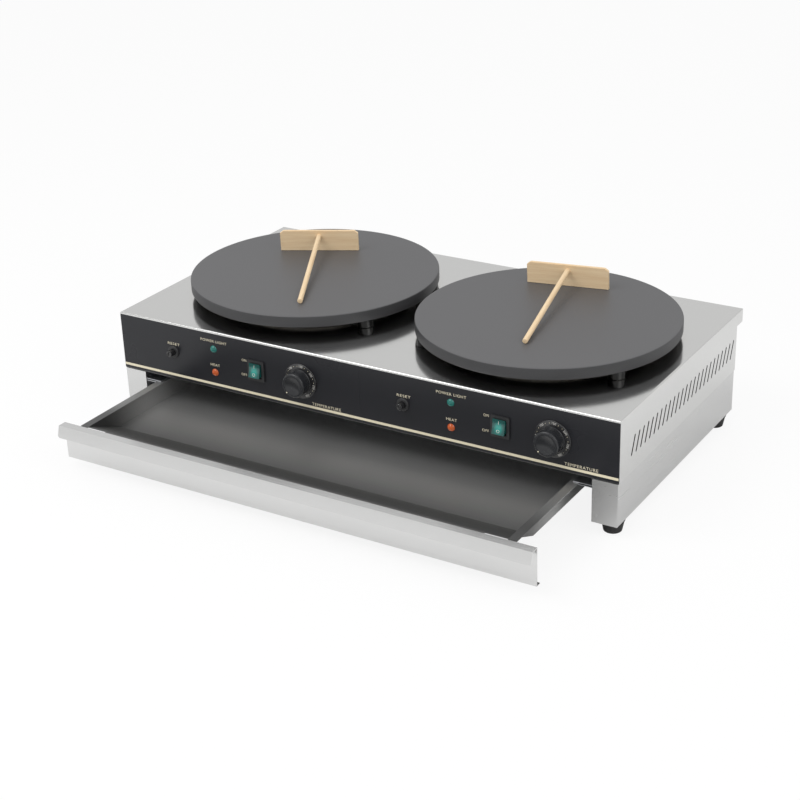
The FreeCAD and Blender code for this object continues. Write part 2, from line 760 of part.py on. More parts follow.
def heater_leg_points(centre):
    """Where the two legs of the heating element go down."""
    points = []
    for ring, turn in ((HEATER_OUTER_RING, -1), (HEATER_INNER_RING, -1)):
        angle = math.radians(HEATER_START)
        start = on_circle(centre, ring, HEATER_START, 0)
        tangent = Vector(-math.sin(angle), math.cos(angle), 0) * turn
        points.append(start + tangent * HEATER_LEG_BEND)
    return points


def heating_element(sign):
    """One tube: a leg, the outer ring, a U-bend, the inner ring and a leg."""
    centre = plate_centre(sign)
    first, last = HEATER_START, HEATER_START + 360 - 2 * (HEATER_START - 90)

    def ring_point(radius, degrees):
        return on_circle(centre, radius, degrees, HEATER_Z)

    def arc(a, b, c):
        return Part.Arc(a, b, c).toShape()

    def leg(radius, turn):
        """Points of a leg from its end up to the ring: end, bend, middle, ring."""
        angle = math.radians(first)
        tangent = Vector(-math.sin(angle), math.cos(angle), 0) * turn
        start = ring_point(radius, first)
        bend = start + tangent * HEATER_LEG_BEND - Z_AXIS * HEATER_LEG_BEND
        share = math.sqrt(0.5)
        middle = start + tangent * (HEATER_LEG_BEND * share) - Z_AXIS * (HEATER_LEG_BEND * (1 - share))
        return bend - Z_AXIS * HEATER_LEG, bend, middle, start

    out_end, out_bend, out_middle, out_start = leg(HEATER_OUTER_RING, -1)
    in_end, in_bend, in_middle, in_start = leg(HEATER_INNER_RING, -1)
    half_turn = (first + last) / 2
    between = (HEATER_OUTER_RING + HEATER_INNER_RING) / 2
    u_radius = (HEATER_OUTER_RING - HEATER_INNER_RING) / 2
    angle = math.radians(last)
    u_middle = ring_point(between, last) + Vector(-math.sin(angle), math.cos(angle), 0) * u_radius
    edges = [
        Part.LineSegment(out_end, out_bend).toShape(),
        arc(out_bend, out_middle, out_start),
        arc(out_start, ring_point(HEATER_OUTER_RING, (first + half_turn) / 2),
            ring_point(HEATER_OUTER_RING, half_turn)),
        arc(ring_point(HEATER_OUTER_RING, half_turn),
            ring_point(HEATER_OUTER_RING, (half_turn + last) / 2), ring_point(HEATER_OUTER_RING, last)),
        arc(ring_point(HEATER_OUTER_RING, last), u_middle, ring_point(HEATER_INNER_RING, last)),
        arc(ring_point(HEATER_INNER_RING, last), ring_point(HEATER_INNER_RING, (half_turn + last) / 2),
            ring_point(HEATER_INNER_RING, half_turn)),
        arc(ring_point(HEATER_INNER_RING, half_turn),
            ring_point(HEATER_INNER_RING, (first + half_turn) / 2), in_start),
        arc(in_start, in_middle, in_bend),
        Part.LineSegment(in_bend, in_end).toShape(),
    ]
    return tube_along(edges, HEATER_RADIUS - SEAT_GAP, HEATER_SIDES)


def heater_clamp(sign):
    """Three-armed spider that presses the element against the plate."""
    centre = plate_centre(sign)
    base = Vector(centre.x, centre.y, CLAMP_Z)
    pieces = [rod(CLAMP_HUB_RADIUS, base, Z_AXIS, CLAMP_THICKNESS)]
    for angle in CLAMP_ANGLES:
        arm = Part.makeBox(CLAMP_ARM_LENGTH, CLAMP_ARM_WIDTH, CLAMP_THICKNESS,
                           Vector(0, -CLAMP_ARM_WIDTH / 2, 0))
        arm.Placement = FreeCAD.Placement(base, FreeCAD.Rotation(Z_AXIS, angle))
        pieces.append(arm)
    hole = bar(STUD_RADIUS + SEAT_GAP, base - Z_AXIS * THROUGH, Z_AXIS,
               CLAMP_THICKNESS + 2 * THROUGH)
    return fused(pieces).cut(hole)


def thermostat_body(sign):
    """Thermostat case behind the panel, with its shaft bore and blade terminals."""
    x = control_x(sign, KNOB_X)
    half_w = THERMOSTAT_WIDTH / 2
    half_h = THERMOSTAT_HEIGHT / 2
    back = PANEL_BACK_Y + THERMOSTAT_DEPTH
    case = box(x - half_w, x + half_w, PANEL_BACK_Y, back, CONTROL_Z - half_h, CONTROL_Z + half_h)
    case = case.makeChamfer(SWITCH_CORNER, [e for e in case.Edges if e.Length > THERMOSTAT_DEPTH - 0.1
                                            and abs(e.tangentAt(e.FirstParameter).y) > 0.9])
    blades = []
    for offset in (-half_w / 2, half_w / 2):
        blades.append(box(x + offset - TERMINAL_WIDTH / 2, x + offset + TERMINAL_WIDTH / 2,
                          back, back + TERMINAL_LENGTH, CONTROL_Z - TERMINAL_THICKNESS / 2,
                          CONTROL_Z + TERMINAL_THICKNESS / 2))
    bore = rod(SHAFT_RADIUS + RUNNING_GAP, Vector(x, PANEL_BACK_Y - THROUGH, CONTROL_Z), Y_AXIS,
               THROUGH + THERMOSTAT_DEPTH / 2)
    return fused([case] + blades).cut(bore)


def thermostat_shaft(sign):
    """Shaft with a flat, from inside the thermostat to inside the knob."""
    x = control_x(sign, KNOB_X)
    tip = FRONT_Y - DIAL_THICKNESS - SHAFT_IN_KNOB
    end = PANEL_BACK_Y + THERMOSTAT_DEPTH / 2 - SLIP_GAP
    shaft = rod(SHAFT_RADIUS, Vector(x, tip, CONTROL_Z), Y_AXIS, end - tip)
    flat = box(x - SHAFT_RADIUS, x + SHAFT_RADIUS, tip - THROUGH, FRONT_Y - DIAL_THICKNESS,
               CONTROL_Z + SHAFT_RADIUS / 2, CONTROL_Z + SHAFT_RADIUS + THROUGH)
    return shaft.cut(flat)


def thermostat_bulb(sign):
    """Sensing bulb under the plate and its capillary down to the thermostat."""
    centre = plate_centre(sign)
    z = RECESS_Z - BULB_RADIUS - SEAT_GAP
    y = centre.y - BULB_CIRCLE
    half = BULB_LENGTH / 2
    bulb = bar(BULB_RADIUS, Vector(centre.x - half, y, z), X_AXIS, BULB_LENGTH)
    hole = Vector(centre.x + CAPILLARY_X, y, z)
    low = SEAM_Z + CAPILLARY_HEIGHT
    body_x = control_x(sign, KNOB_X)
    back = PANEL_BACK_Y + THERMOSTAT_DEPTH
    route = [
        Vector(centre.x + half - 1, y, z), hole, Vector(hole.x, y, low),
        Vector(body_x, back + 2.5 * CAPILLARY_BEND, low), Vector(body_x, back, low),
    ]
    capillary = tube_along(rounded_path(route, CAPILLARY_BEND), CAPILLARY_RADIUS, CAPILLARY_SIDES)
    return fused([bulb, capillary])


def dial(sign):
    """Round scale plate under the knob."""
    x = control_x(sign, KNOB_X)
    bore = SHAFT_HOLE_RADIUS
    outline = [
        (bore, 0), (DIAL_RADIUS, 0), (DIAL_RADIUS, DIAL_THICKNESS - DIAL_EDGE),
        (DIAL_RADIUS - DIAL_EDGE, DIAL_THICKNESS), (bore, DIAL_THICKNESS),
    ]
    return turned(outline, Vector(x, FRONT_Y, CONTROL_Z), -Y_AXIS, TURNED_FLATS)


def knob(sign):
    """Tall dished knob with a rounded rim and a bore for the shaft."""
    x = control_x(sign, KNOB_X)
    back = DIAL_THICKNESS + 2 * SLIP_GAP
    front = KNOB_FRONT
    rim = KNOB_RADIUS - KNOB_TAPER
    bore = SHAFT_RADIUS + RUNNING_GAP
    bore_end = DIAL_THICKNESS + SHAFT_IN_KNOB + SLIP_GAP
    outline = [(0, bore_end), (bore, bore_end), (bore, back), (KNOB_RADIUS, back)]
    for degrees in (0, 45, 90):
        turn = math.radians(degrees)
        outline.append((rim - KNOB_EDGE * (1 - math.cos(turn)),
                        front - KNOB_EDGE * (1 - math.sin(turn))))
    for share in (1.0, 0.8, 0.4, 0.0):
        r = KNOB_DISH_RADIUS * share
        outline.append((r, front - cap_height(KNOB_DISH_RADIUS, KNOB_DISH, r)))
    return turned(outline, Vector(x, FRONT_Y, CONTROL_Z), -Y_AXIS, TURNED_FLATS)


def cap_height(radius, height, r):
    """Height at radius r of a spherical cap of the given radius and height."""
    ball = (radius ** 2 + height ** 2) / (2 * height)
    return height - ball + math.sqrt(ball ** 2 - r ** 2)


def upright_edges(shape, direction):
    return [e for e in shape.Edges
            if abs(e.tangentAt(e.FirstParameter).dot(direction)) > 0.99]


def switch_body(sign):
    """Switch case with its raised frame and the well for the rocker."""
    x = control_x(sign, SWITCH_X)
    half_w = SWITCH_WIDTH / 2
    half_h = SWITCH_HEIGHT / 2
    frame = box(x - half_w, x + half_w, FRONT_Y - SWITCH_FRAME, FRONT_Y,
                CONTROL_Z - half_h, CONTROL_Z + half_h)
    frame = frame.makeFillet(SWITCH_CORNER, upright_edges(frame, Y_AXIS))
    cut_w = SWITCH_CUT_WIDTH / 2
    cut_h = SWITCH_CUT_HEIGHT / 2
    back = FRONT_Y + SWITCH_BODY_DEPTH
    case = box(x - cut_w, x + cut_w, FRONT_Y, back, CONTROL_Z - cut_h, CONTROL_Z + cut_h)
    well_w = cut_w - SWITCH_WALL
    well_h = cut_h - SWITCH_WALL
    well = box(x - well_w, x + well_w, FRONT_Y - SWITCH_FRAME - THROUGH,
               FRONT_Y + ROCKER_PIVOT + ROCKER_REACH / 2, CONTROL_Z - well_h, CONTROL_Z + well_h)
    blades = []
    for lift in (-cut_h / 2, 0, cut_h / 2):
        blades.append(box(x - TERMINAL_WIDTH / 2, x + TERMINAL_WIDTH / 2, back, back + TERMINAL_LENGTH,
                          CONTROL_Z + lift - TERMINAL_THICKNESS / 2,
                          CONTROL_Z + lift + TERMINAL_THICKNESS / 2))
    reach = well_w + PIVOT_DEPTH + SEAT_GAP
    seat = rod(PIVOT_RADIUS + RUNNING_GAP, Vector(x - reach, FRONT_Y + ROCKER_PIVOT, CONTROL_Z),
               X_AXIS, 2 * reach)
    return cut_all(fused([frame, case] + blades), [well, seat])


def switch_rocker(sign):
    """Rocker with a dished face, tipped so that its top end is pressed in."""
    x = control_x(sign, SWITCH_X)
    half_w = SWITCH_CUT_WIDTH / 2 - SWITCH_WALL - ROCKER_GAP
    half_h = SWITCH_CUT_HEIGHT / 2 - SWITCH_WALL - ROCKER_GAP
    pivot_y = FRONT_Y + ROCKER_PIVOT
    back_h = half_h * ROCKER_BACK_SHARE
    face_y = pivot_y - ROCKER_REACH
    foot_y = pivot_y + ROCKER_PIVOT / 2
    a = Vector(x - half_w, face_y, CONTROL_Z + half_h)
    b = Vector(x - half_w, face_y + ROCKER_DISH, CONTROL_Z)
    c = Vector(x - half_w, face_y, CONTROL_Z - half_h)
    d = Vector(x - half_w, foot_y, CONTROL_Z - back_h)
    e = Vector(x - half_w, foot_y, CONTROL_Z + back_h)
    outline = Part.Wire([
        Part.Arc(a, b, c).toShape(), Part.LineSegment(c, d).toShape(),
        Part.LineSegment(d, e).toShape(), Part.LineSegment(e, a).toShape(),
    ])
    rocker = Part.Face(outline).extrude(Vector(2 * half_w, 0, 0))
    rocker.rotate(Vector(x, pivot_y, CONTROL_Z), X_AXIS, -ROCKER_ANGLE)
    reach = half_w + ROCKER_GAP + PIVOT_DEPTH
    pivot = rod(PIVOT_RADIUS, Vector(x - reach, pivot_y, CONTROL_Z), X_AXIS, 2 * reach)
    return fused([rocker, pivot])


def lamp_lens(sign, lift):
    """Domed lens of an indicator lamp."""
    base = Vector(control_x(sign, LAMP_X), FRONT_Y, CONTROL_Z + lift)
    outline = [(0, -LAMP_STEM), (LAMP_STEM_RADIUS, -LAMP_STEM), (LAMP_STEM_RADIUS, 0)]
    for share in (1.0, 0.85, 0.6, 0.3, 0.0):
        r = LAMP_RADIUS * share
        outline.append((r, cap_height(LAMP_RADIUS, LAMP_DOME, r)))
    return turned(outline, base, -Y_AXIS, FLATS)


def lamp_holders():
    """Holders behind the panel that carry the four lenses."""
    holders = []
    for _, sign in SIDES:
        for lift in (LAMP_OFFSET, -LAMP_OFFSET):
            base = Vector(control_x(sign, LAMP_X), FRONT_Y, CONTROL_Z + lift)
            body = bar(LAMP_BODY_RADIUS, base, Y_AXIS, LAMP_BODY)
            well = bar(LAMP_STEM_RADIUS + SEAT_GAP, base - Y_AXIS * THROUGH, Y_AXIS,
                       LAMP_STEM + SEAT_GAP + THROUGH)
            holders.append(body.cut(well))
    return Part.makeCompound(holders)


def limiter(sign):
    """Overheat limiter behind the panel with its threaded bush."""
    base = Vector(control_x(sign, RESET_X), FRONT_Y, CONTROL_Z)
    half_w = LIMITER_WIDTH / 2
    half_h = LIMITER_HEIGHT / 2
    back = PANEL_BACK_Y + LIMITER_DEPTH
    case = box(base.x - half_w, base.x + half_w, PANEL_BACK_Y, back,
               base.z - half_h, base.z + half_h)
    bush = bar(BUSH_RADIUS, base - Y_AXIS * BUSH_FRONT, Y_AXIS, BUSH_FRONT + FASCIA + SHEET)
    depth = BUSH_FRONT + PIN_BACK + PIN_TRAVEL + SLIP_GAP + THROUGH
    bore = bar(PIN_RADIUS + RUNNING_GAP, base - Y_AXIS * (BUSH_FRONT + THROUGH), Y_AXIS, depth)
    blades = []
    for offset in (-half_w / 2, half_w / 2):
        blades.append(box(base.x + offset - TERMINAL_WIDTH / 2, base.x + offset + TERMINAL_WIDTH / 2,
                          back, back + TERMINAL_LENGTH, base.z - TERMINAL_THICKNESS / 2,
                          base.z + TERMINAL_THICKNESS / 2))
    return fused([case, bush] + blades).cut(bore)


def reset_collars():
    """Round collars on the fascia that the reset caps stand in."""
    collars = []
    for _, sign in SIDES:
        base = Vector(control_x(sign, RESET_X), FRONT_Y, CONTROL_Z)
        inner = CAP_RADIUS + SLIP_GAP
        outline = [
            (inner, 0), (COLLAR_RADIUS, 0), (COLLAR_RADIUS, COLLAR_THICKNESS / 2),
            (COLLAR_RADIUS - COLLAR_THICKNESS / 2, COLLAR_THICKNESS), (inner, COLLAR_THICKNESS),
        ]
        collars.append(turned(outline, base, -Y_AXIS, TURNED_FLATS))
    return Part.makeCompound(collars)


def reset_cap(sign):
    """Screw cap over the reset button, with a driver slot in its face."""
    base = Vector(control_x(sign, RESET_X), FRONT_Y, CONTROL_Z)
    back = SLIP_GAP
    skirt = BUSH_RADIUS + SLIP_GAP
    room = PIN_RADIUS + CAP_WALL
    cap = turned([
        (skirt, back), (CAP_RADIUS, back), (CAP_RADIUS, CAP_FRONT - CAP_WALL),
        (CAP_RADIUS - CAP_WALL, CAP_FRONT), (0, CAP_FRONT), (0, CAP_FRONT - CAP_FACE),
        (room, CAP_FRONT - CAP_FACE), (room, BUSH_FRONT + SLIP_GAP), (skirt, BUSH_FRONT + SLIP_GAP),
    ], base, -Y_AXIS, FLATS)
    slot = box(base.x - CAP_RADIUS, base.x + CAP_RADIUS, base.y - CAP_FRONT - THROUGH,
               base.y - CAP_FRONT + CAP_SLOT_DEPTH, base.z - CAP_SLOT / 2, base.z + CAP_SLOT / 2)
    return cap.cut(slot)


def reset_pin(sign):
    """Reset button inside the bush."""
    start = Vector(control_x(sign, RESET_X), FRONT_Y - PIN_FRONT, CONTROL_Z)
    return bar(PIN_RADIUS, start, Y_AXIS, PIN_FRONT + PIN_BACK)


def cable_gland():
    """Mains cable gland in the rear panel: body, nuts and domed cap."""
    face = Vector(GLAND_X, BACK_Y, SEAM_Z + GLAND_HEIGHT)
    inside = Vector(face.x, REAR_INSIDE_Y - GLAND_INSIDE, face.z)
    stem = bar(GLAND_RADIUS, inside, Y_AXIS, GLAND_INSIDE + SHEET)
    nuts = []
    for y in (REAR_INSIDE_Y - GLAND_NUT / 2, BACK_Y):
        nut = hexagon(GLAND_NUT_RADIUS, Vector(0, 0, 0), GLAND_NUT / 2 if y < BACK_Y else GLAND_NUT)
        nut.Placement = FreeCAD.Placement(Vector(face.x, y, face.z), FreeCAD.Rotation(Z_AXIS, Y_AXIS))
        nuts.append(nut)
    cone = turned([
        (0, 0), (GLAND_NUT_RADIUS * 0.85, 0), (GLAND_BORE_RADIUS + 2, GLAND_DOME), (0, GLAND_DOME),
    ], face + Y_AXIS * GLAND_NUT, Y_AXIS, FLATS)
    bore = rod(GLAND_BORE_RADIUS, inside - Y_AXIS * THROUGH, Y_AXIS,
               GLAND_INSIDE + SHEET + GLAND_NUT + GLAND_DOME + 2 * THROUGH)
    return fused([stem, cone] + nuts).cut(bore)


def terminal_block():
    """Mains terminal block on the floor, behind the gland."""
    x0 = GLAND_X - BLOCK_WIDTH / 2
    y0 = BACK_Y - BLOCK_SETBACK
    z0 = SEAM_Z + SHEET
    block = box(x0, x0 + BLOCK_WIDTH, y0, y0 + BLOCK_DEPTH, z0, z0 + BLOCK_HEIGHT)
    step = box(x0 - THROUGH, x0 + BLOCK_WIDTH + THROUGH, y0 + 0.7 * BLOCK_DEPTH,
               y0 + BLOCK_DEPTH + THROUGH, z0 + 0.6 * BLOCK_HEIGHT, z0 + BLOCK_HEIGHT + THROUGH)
    wells = [step]
    for index in range(BLOCK_WAYS):
        x = x0 + (index + 0.5) * BLOCK_WIDTH / BLOCK_WAYS
        top = Vector(x, y0 + 0.35 * BLOCK_DEPTH, z0 + BLOCK_HEIGHT - BLOCK_WELL)
        wells.append(bar(BLOCK_WELL_RADIUS, top, Z_AXIS, BLOCK_WELL + THROUGH))
    return cut_all(block, wells)


def drawer_front():
    """Folded front: hemmed plate, top ledge and the flared pull lip."""
    low = RIM_Z - DRAWER_FRONT_HEIGHT
    reach = DRAWER_Y - HANDLE_REACH
    line = [
        (DRAWER_Y + FRONT_HEM, low), (DRAWER_Y, low), (DRAWER_Y, RIM_Z),
        (reach, RIM_Z), (reach - HANDLE_FLARE, RIM_Z - HANDLE_DROP),
    ]
    outline = folded(line, SHEET)
    half = DRAWER_FRONT_WIDTH / 2
    front = along_x(outline, -half, half)
    lip_low = RIM_Z - HANDLE_DROP
    corners = []
    for _, sign in SIDES:
        edge_x = sign * half
        block = box(edge_x - sign * HANDLE_CORNER, edge_x + sign * THROUGH,
                    reach - HANDLE_FLARE - SHEET - THROUGH, reach + SHEET,
                    lip_low - THROUGH, lip_low + HANDLE_CORNER)
        keep = bar(HANDLE_CORNER, Vector(edge_x - sign * HANDLE_CORNER,
                                         reach - HANDLE_FLARE - SHEET - 2 * THROUGH,
                                         lip_low + HANDLE_CORNER), Y_AXIS,
                   HANDLE_FLARE + 2 * SHEET + 4 * THROUGH)
        corners.append(block.cut(keep))
    for x in RIVETS_X:
        start = Vector(x, DRAWER_Y - SHEET - THROUGH, rivet_z())
        corners.append(bar(RIVET_RADIUS + SEAT_GAP, start, Y_AXIS, SHEET + 2 * THROUGH))
    return cut_all(front, corners)


def rivet_z():
    return RIM_Z - TRAY_WELD_FLANGE * 0.6


def drawer_tray():
    """Shallow tray with side rims, a sloping front wall and folded corner tabs."""
    wall = TRAY_WIDTH / 2 - TRAY_RIM
    y0 = DRAWER_Y
    y1 = DRAWER_Y + TRAY_LENGTH
    low = RIM_Z - TRAY_DEPTH
    slope = math.hypot(TRAY_SLOPE_RUN, TRAY_DEPTH)
    lift = SHEET * (slope - TRAY_SLOPE_RUN) / TRAY_DEPTH
    top_shift = SHEET * slope / TRAY_DEPTH
    front_top = y0 + SHEET
    outer = along_x([
        (front_top, RIM_Z), (y1, RIM_Z), (y1, low), (front_top + TRAY_SLOPE_RUN, low),
    ], -wall, wall)
    inner = along_x([
        (front_top + top_shift, RIM_Z), (front_top + top_shift, RIM_Z + THROUGH),
        (y1 - SHEET, RIM_Z + THROUGH), (y1 - SHEET, low + SHEET),
        (front_top + TRAY_SLOPE_RUN + lift, low + SHEET),
    ], -wall + SHEET, wall - SHEET)
    pan = outer.cut(inner)
    pieces = [pan]
    for _, sign in SIDES:
        pieces.append(box(sign * (wall - SHEET), sign * TRAY_WIDTH / 2, front_top, y1,
                          RIM_Z - SHEET, RIM_Z))
    weld_half = wall - TAB_WIDTH
    weld = folded([(y0, RIM_Z - TRAY_WELD_FLANGE), (y0, RIM_Z), (front_top + top_shift, RIM_Z)],
                  -SHEET)
    pieces.append(along_x(weld, -weld_half, weld_half))
    pieces.append(box(-wall, wall, y1 - SHEET, y1 + TRAY_RIM / 2, RIM_Z - SHEET, RIM_Z))
    tray = fused(pieces)
    holes = []
    for x in RIVETS_X:
        start = Vector(x, y0 - THROUGH, rivet_z())
        holes.append(bar(RIVET_RADIUS + SEAT_GAP, start, Y_AXIS, SHEET + 2 * THROUGH))
    return cut_all(tray, holes)


def drawer_rivets():
    """Rivets that join the tray's front flange to the drawer front."""
    rivets = []
    for x in RIVETS_X:
        front = Vector(x, DRAWER_Y - SHEET, rivet_z())
        head = bar(RIVET_HEAD_RADIUS, front - Y_AXIS * RIVET_HEAD, Y_AXIS, RIVET_HEAD)
        shank = bar(RIVET_RADIUS, front, Y_AXIS, 2 * SHEET)
        tail = bar(RIVET_HEAD_RADIUS - 1, front + Y_AXIS * 2 * SHEET, Y_AXIS, RIVET_HEAD)
        rivets.append(fused([head, shank, tail]))
    return Part.makeCompound(rivets)


def spreader(side):
    """Blade and handle of one wooden spreader, as it leans on its plate."""
    turn, foot_x, foot_y = SPREADERS[side]
    half = BLADE_LENGTH / 2
    outline = [
        (-half, 0), (half, 0), (half, BLADE_HEIGHT - BLADE_CHAMFER_Z),
        (half - BLADE_CHAMFER_X, BLADE_HEIGHT), (-half + BLADE_CHAMFER_X, BLADE_HEIGHT),
        (-half, BLADE_HEIGHT - BLADE_CHAMFER_Z),
    ]
    blade = along_y(outline, 0, BLADE_THICKNESS)
    socket = bar(HANDLE_RADIUS + RUNNING_GAP, Vector(0, -THROUGH, HANDLE_HEIGHT), Y_AXIS,
                 BLADE_THICKNESS + 2 * THROUGH)
    blade = blade.cut(socket)
    handle = turned([
        (0, 0), (HANDLE_RADIUS - HANDLE_END, 0), (HANDLE_RADIUS, HANDLE_END),
        (HANDLE_RADIUS, HANDLE_LENGTH + BLADE_THICKNESS), (0, HANDLE_LENGTH + BLADE_THICKNESS),
    ], Vector(0, -HANDLE_LENGTH, HANDLE_HEIGHT), Y_AXIS, FLATS)
    tilt = math.degrees(math.atan2(HANDLE_HEIGHT - HANDLE_RADIUS, HANDLE_LENGTH))
    lean = FreeCAD.Rotation(X_AXIS, tilt)
    heading = FreeCAD.Rotation(Z_AXIS, turn)
    place = FreeCAD.Placement(Vector(foot_x, foot_y, PLATE_TOP_Z + SLIP_GAP), heading * lean)
    for piece in (blade, handle):
        piece.Placement = place * piece.Placement
    return blade, handle


def main():
    os.makedirs("parts", exist_ok=True)
    save("deck_cover", deck_cover())
    save("rear_panel", rear_panel())
    save("rear_screws", rear_screws())
    save("housing_floor", housing_floor())
    save("front_panel", front_panel())
    save("fascia_left", fascia(-HALF_WIDTH, FASCIA_SEAM_X - SEAT_GAP / 2))
    save("fascia_right", fascia(FASCIA_SEAM_X + SEAT_GAP / 2, HALF_WIDTH))
    save("base_back", base_back())
    save("plate_spacers", plate_spacers())
    save("plate_studs", plate_studs())
    save("foot_screws", foot_screws())
    save("lamp_holders", lamp_holders())
    save("reset_collars", reset_collars())
    save("cable_gland", cable_gland())
    save("terminal_block", terminal_block())
    save("drawer_front", drawer_front())
    save("drawer_tray", drawer_tray())
    save("drawer_rivets", drawer_rivets())
    for name, (x, y) in zip(("front_left", "front_right", "rear_left", "rear_right"), foot_places()):
        save(f"foot_{name}", foot(x, y))
    for side, sign in SIDES:
        save(f"base_side_{side}", base_side(sign))
        save(f"drawer_runner_{side}", drawer_runner(sign))
        save(f"baking_plate_{side}", baking_plate(sign))
        save(f"heating_element_{side}", heating_element(sign))
        save(f"heater_clamp_{side}", heater_clamp(sign))
        save(f"thermostat_{side}", thermostat_body(sign))
        save(f"thermostat_shaft_{side}", thermostat_shaft(sign))
        save(f"thermostat_bulb_{side}", thermostat_bulb(sign))
        save(f"dial_{side}", dial(sign))
        save(f"knob_{side}", knob(sign))
        save(f"switch_body_{side}", switch_body(sign))
        save(f"switch_rocker_{side}", switch_rocker(sign))
        save(f"power_lamp_{side}", lamp_lens(sign, LAMP_OFFSET))
        save(f"heat_lamp_{side}", lamp_lens(sign, -LAMP_OFFSET))
        save(f"limiter_{side}", limiter(sign))
        save(f"reset_cap_{side}", reset_cap(sign))
        save(f"reset_pin_{side}", reset_pin(sign))
        blade, handle = spreader(side)
        save(f"spreader_blade_{side}", blade)
        save(f"spreader_handle_{side}", handle)


main()
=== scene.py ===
import math

import bmesh
import bpy
from mathutils import Matrix, Vector


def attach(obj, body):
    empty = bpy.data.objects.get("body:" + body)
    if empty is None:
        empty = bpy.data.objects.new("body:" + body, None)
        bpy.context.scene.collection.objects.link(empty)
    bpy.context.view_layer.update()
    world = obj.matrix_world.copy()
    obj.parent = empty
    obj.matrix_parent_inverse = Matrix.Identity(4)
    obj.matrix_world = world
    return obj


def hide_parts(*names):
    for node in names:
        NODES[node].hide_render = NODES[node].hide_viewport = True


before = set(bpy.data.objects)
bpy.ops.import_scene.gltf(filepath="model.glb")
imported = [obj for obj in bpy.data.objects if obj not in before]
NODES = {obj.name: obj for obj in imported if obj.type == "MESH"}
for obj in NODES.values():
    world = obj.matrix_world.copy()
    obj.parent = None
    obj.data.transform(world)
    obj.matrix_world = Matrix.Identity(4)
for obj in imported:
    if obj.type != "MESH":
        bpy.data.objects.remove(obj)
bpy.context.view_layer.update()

SIDES = (("left", -1), ("right", 1))

# Places on the housing: every length is in metres and every angle in degrees
FRONT_Y = -0.215
HALF_WIDTH = 0.431
DECK_Z = 0.183
CONTROL_Z = 0.1345
STRIPE_LOW, STRIPE_TOP = 0.0928, 0.0968
STRIPE_END_GAP = 0.0005
STRIPE_THICK = 0.0002
FEET = {
    "front_left": (-0.412, -0.189), "front_right": (0.412, -0.189),
    "rear_left": (-0.412, 0.189), "rear_right": (0.412, 0.189),
}

# Griddles and their legs
PLATE_X = 0.2095
PLATE_Y = 0.0115
PLATE_LOW = 0.196
PLATE_TOP = 0.214
PLATE_RADIUS = 0.200
PLATE_EDGE = 0.0016
LEG_CIRCLE = 0.185
LEG_ANGLES = (-32, 32, 148, 212)

# Controls: places across are from the middle of each griddle, depths from the panel
RESET_X, LAMP_X, SWITCH_X, KNOB_X = -0.119, -0.040, 0.040, 0.1215
LAMP_LIFT = 0.0195
LAMP_RADIUS = 0.006
LAMP_DOME = 0.004
DIAL_RADIUS = 0.028
DIAL_FRONT = 0.0024
DIAL_RIM = 0.0008
SCALE_RADIUS = 0.0243
SCALE_NUMBERS = ("50", "100", "150", "200", "250", "300")
SCALE_NUMBER_HEIGHT = 0.0034
SCALE_START = 180
SCALE_STEP = 16                 # from one dot to the next
STEPS_PER_NUMBER = 3
SCALE_DOT = (0.0005, 0.00012)   # radius and height
KNOB_RADIUS = 0.020
KNOB_FRONT = 0.023
KNOB_EDGE = 0.0026
KNOB_DISH = 0.0135
KNOB_DISH_DEPTH = 0.0028
KNOB_MARK = (0.0010, 0.00015)   # radius and height
KNOB_MARK_RADIUS = 0.0166       # of the circle that it is on
KNOB_MARK_ANGLE = 228
CAP_RADIUS = 0.0053
CAP_FRONT = 0.013
CAP_SLOT_HALF = 0.0007
CAP_SLOT_DEPTH = 0.0012
CAP_SLOT_ANGLE = 70
CAP_KNURL = 0.00022
ROCKER_TIP = -10
ROCKER_FACE = 0.01162
ROCKER_PIVOT_DEPTH = 0.004
ROCKER_MARK_LIFT = 0.0062
ROCKER_MARK_HEIGHT = 0.0046

# Words on the panel: place across, lift above the controls' line, width, height
PRINT = (
    ("RESET", -0.118, 0.0131, 0.023, 0.0042),
    ("POWER LIGHT", -0.039, 0.0325, 0.049, 0.0042),
    ("HEAT", -0.039, -0.0069, 0.0175, 0.0042),
    ("ON", 0.0172, 0.0125, 0.0085, 0.0040),
    ("OFF", 0.0160, -0.0115, 0.0105, 0.0040),
    ("TEMPERATURE", 0.165, -0.034, 0.051, 0.0046),
)

# Spreaders: the turn of each and its blade's place on the griddle
SPREADERS = {"left": (26.3, -0.253, 0.0905), "right": (11.2, 0.1843, 0.1282)}
BLADE_GAP = 0.0003              # between the blade and the griddle
BLADE_HALF = 0.065
BLADE_HEIGHT = 0.0355
BLADE_SHOULDER = 0.031
BLADE_CORNER = 0.006
BLADE_THICK = 0.005
BLADE_EDGE = 0.0005
STICK_RADIUS = 0.004
STICK_LENGTH = 0.241
STICK_REACH = 0.236
STICK_LIFT = 0.026
STICK_DROP = 0.022
STICK_EDGE = 0.0009

# Mesh finish: the angle from which an edge stays sharp, and the letters' forms
SHARP = math.radians(32.0)
LETTER_DEPTH = 0.00016
LETTER_EXTRUDE = 0.02           # of the text before it is fitted
LETTER_OFFSET = -0.004

# Shader node groups, each built once


SURFACE = [
    ("Color", "NodeSocketColor"), ("Roughness", "NodeSocketFloat"), ("Height", "NodeSocketFloat"),
]


def new_group(name, inputs, outputs):
    group = bpy.data.node_groups.new(name, "ShaderNodeTree")
    for label, kind, value in inputs:
        socket = group.interface.new_socket(name=label, in_out="INPUT", socket_type=kind)
        socket.default_value = value
    for label, kind in outputs:
        group.interface.new_socket(name=label, in_out="OUTPUT", socket_type=kind)
    return group, group.nodes.new("NodeGroupInput"), group.nodes.new("NodeGroupOutput")


def add(tree, kind, **values):
    """A new node with its settings."""
    node = tree.nodes.new(kind)
    for key, value in values.items():
        setattr(node, key, value)
    return node


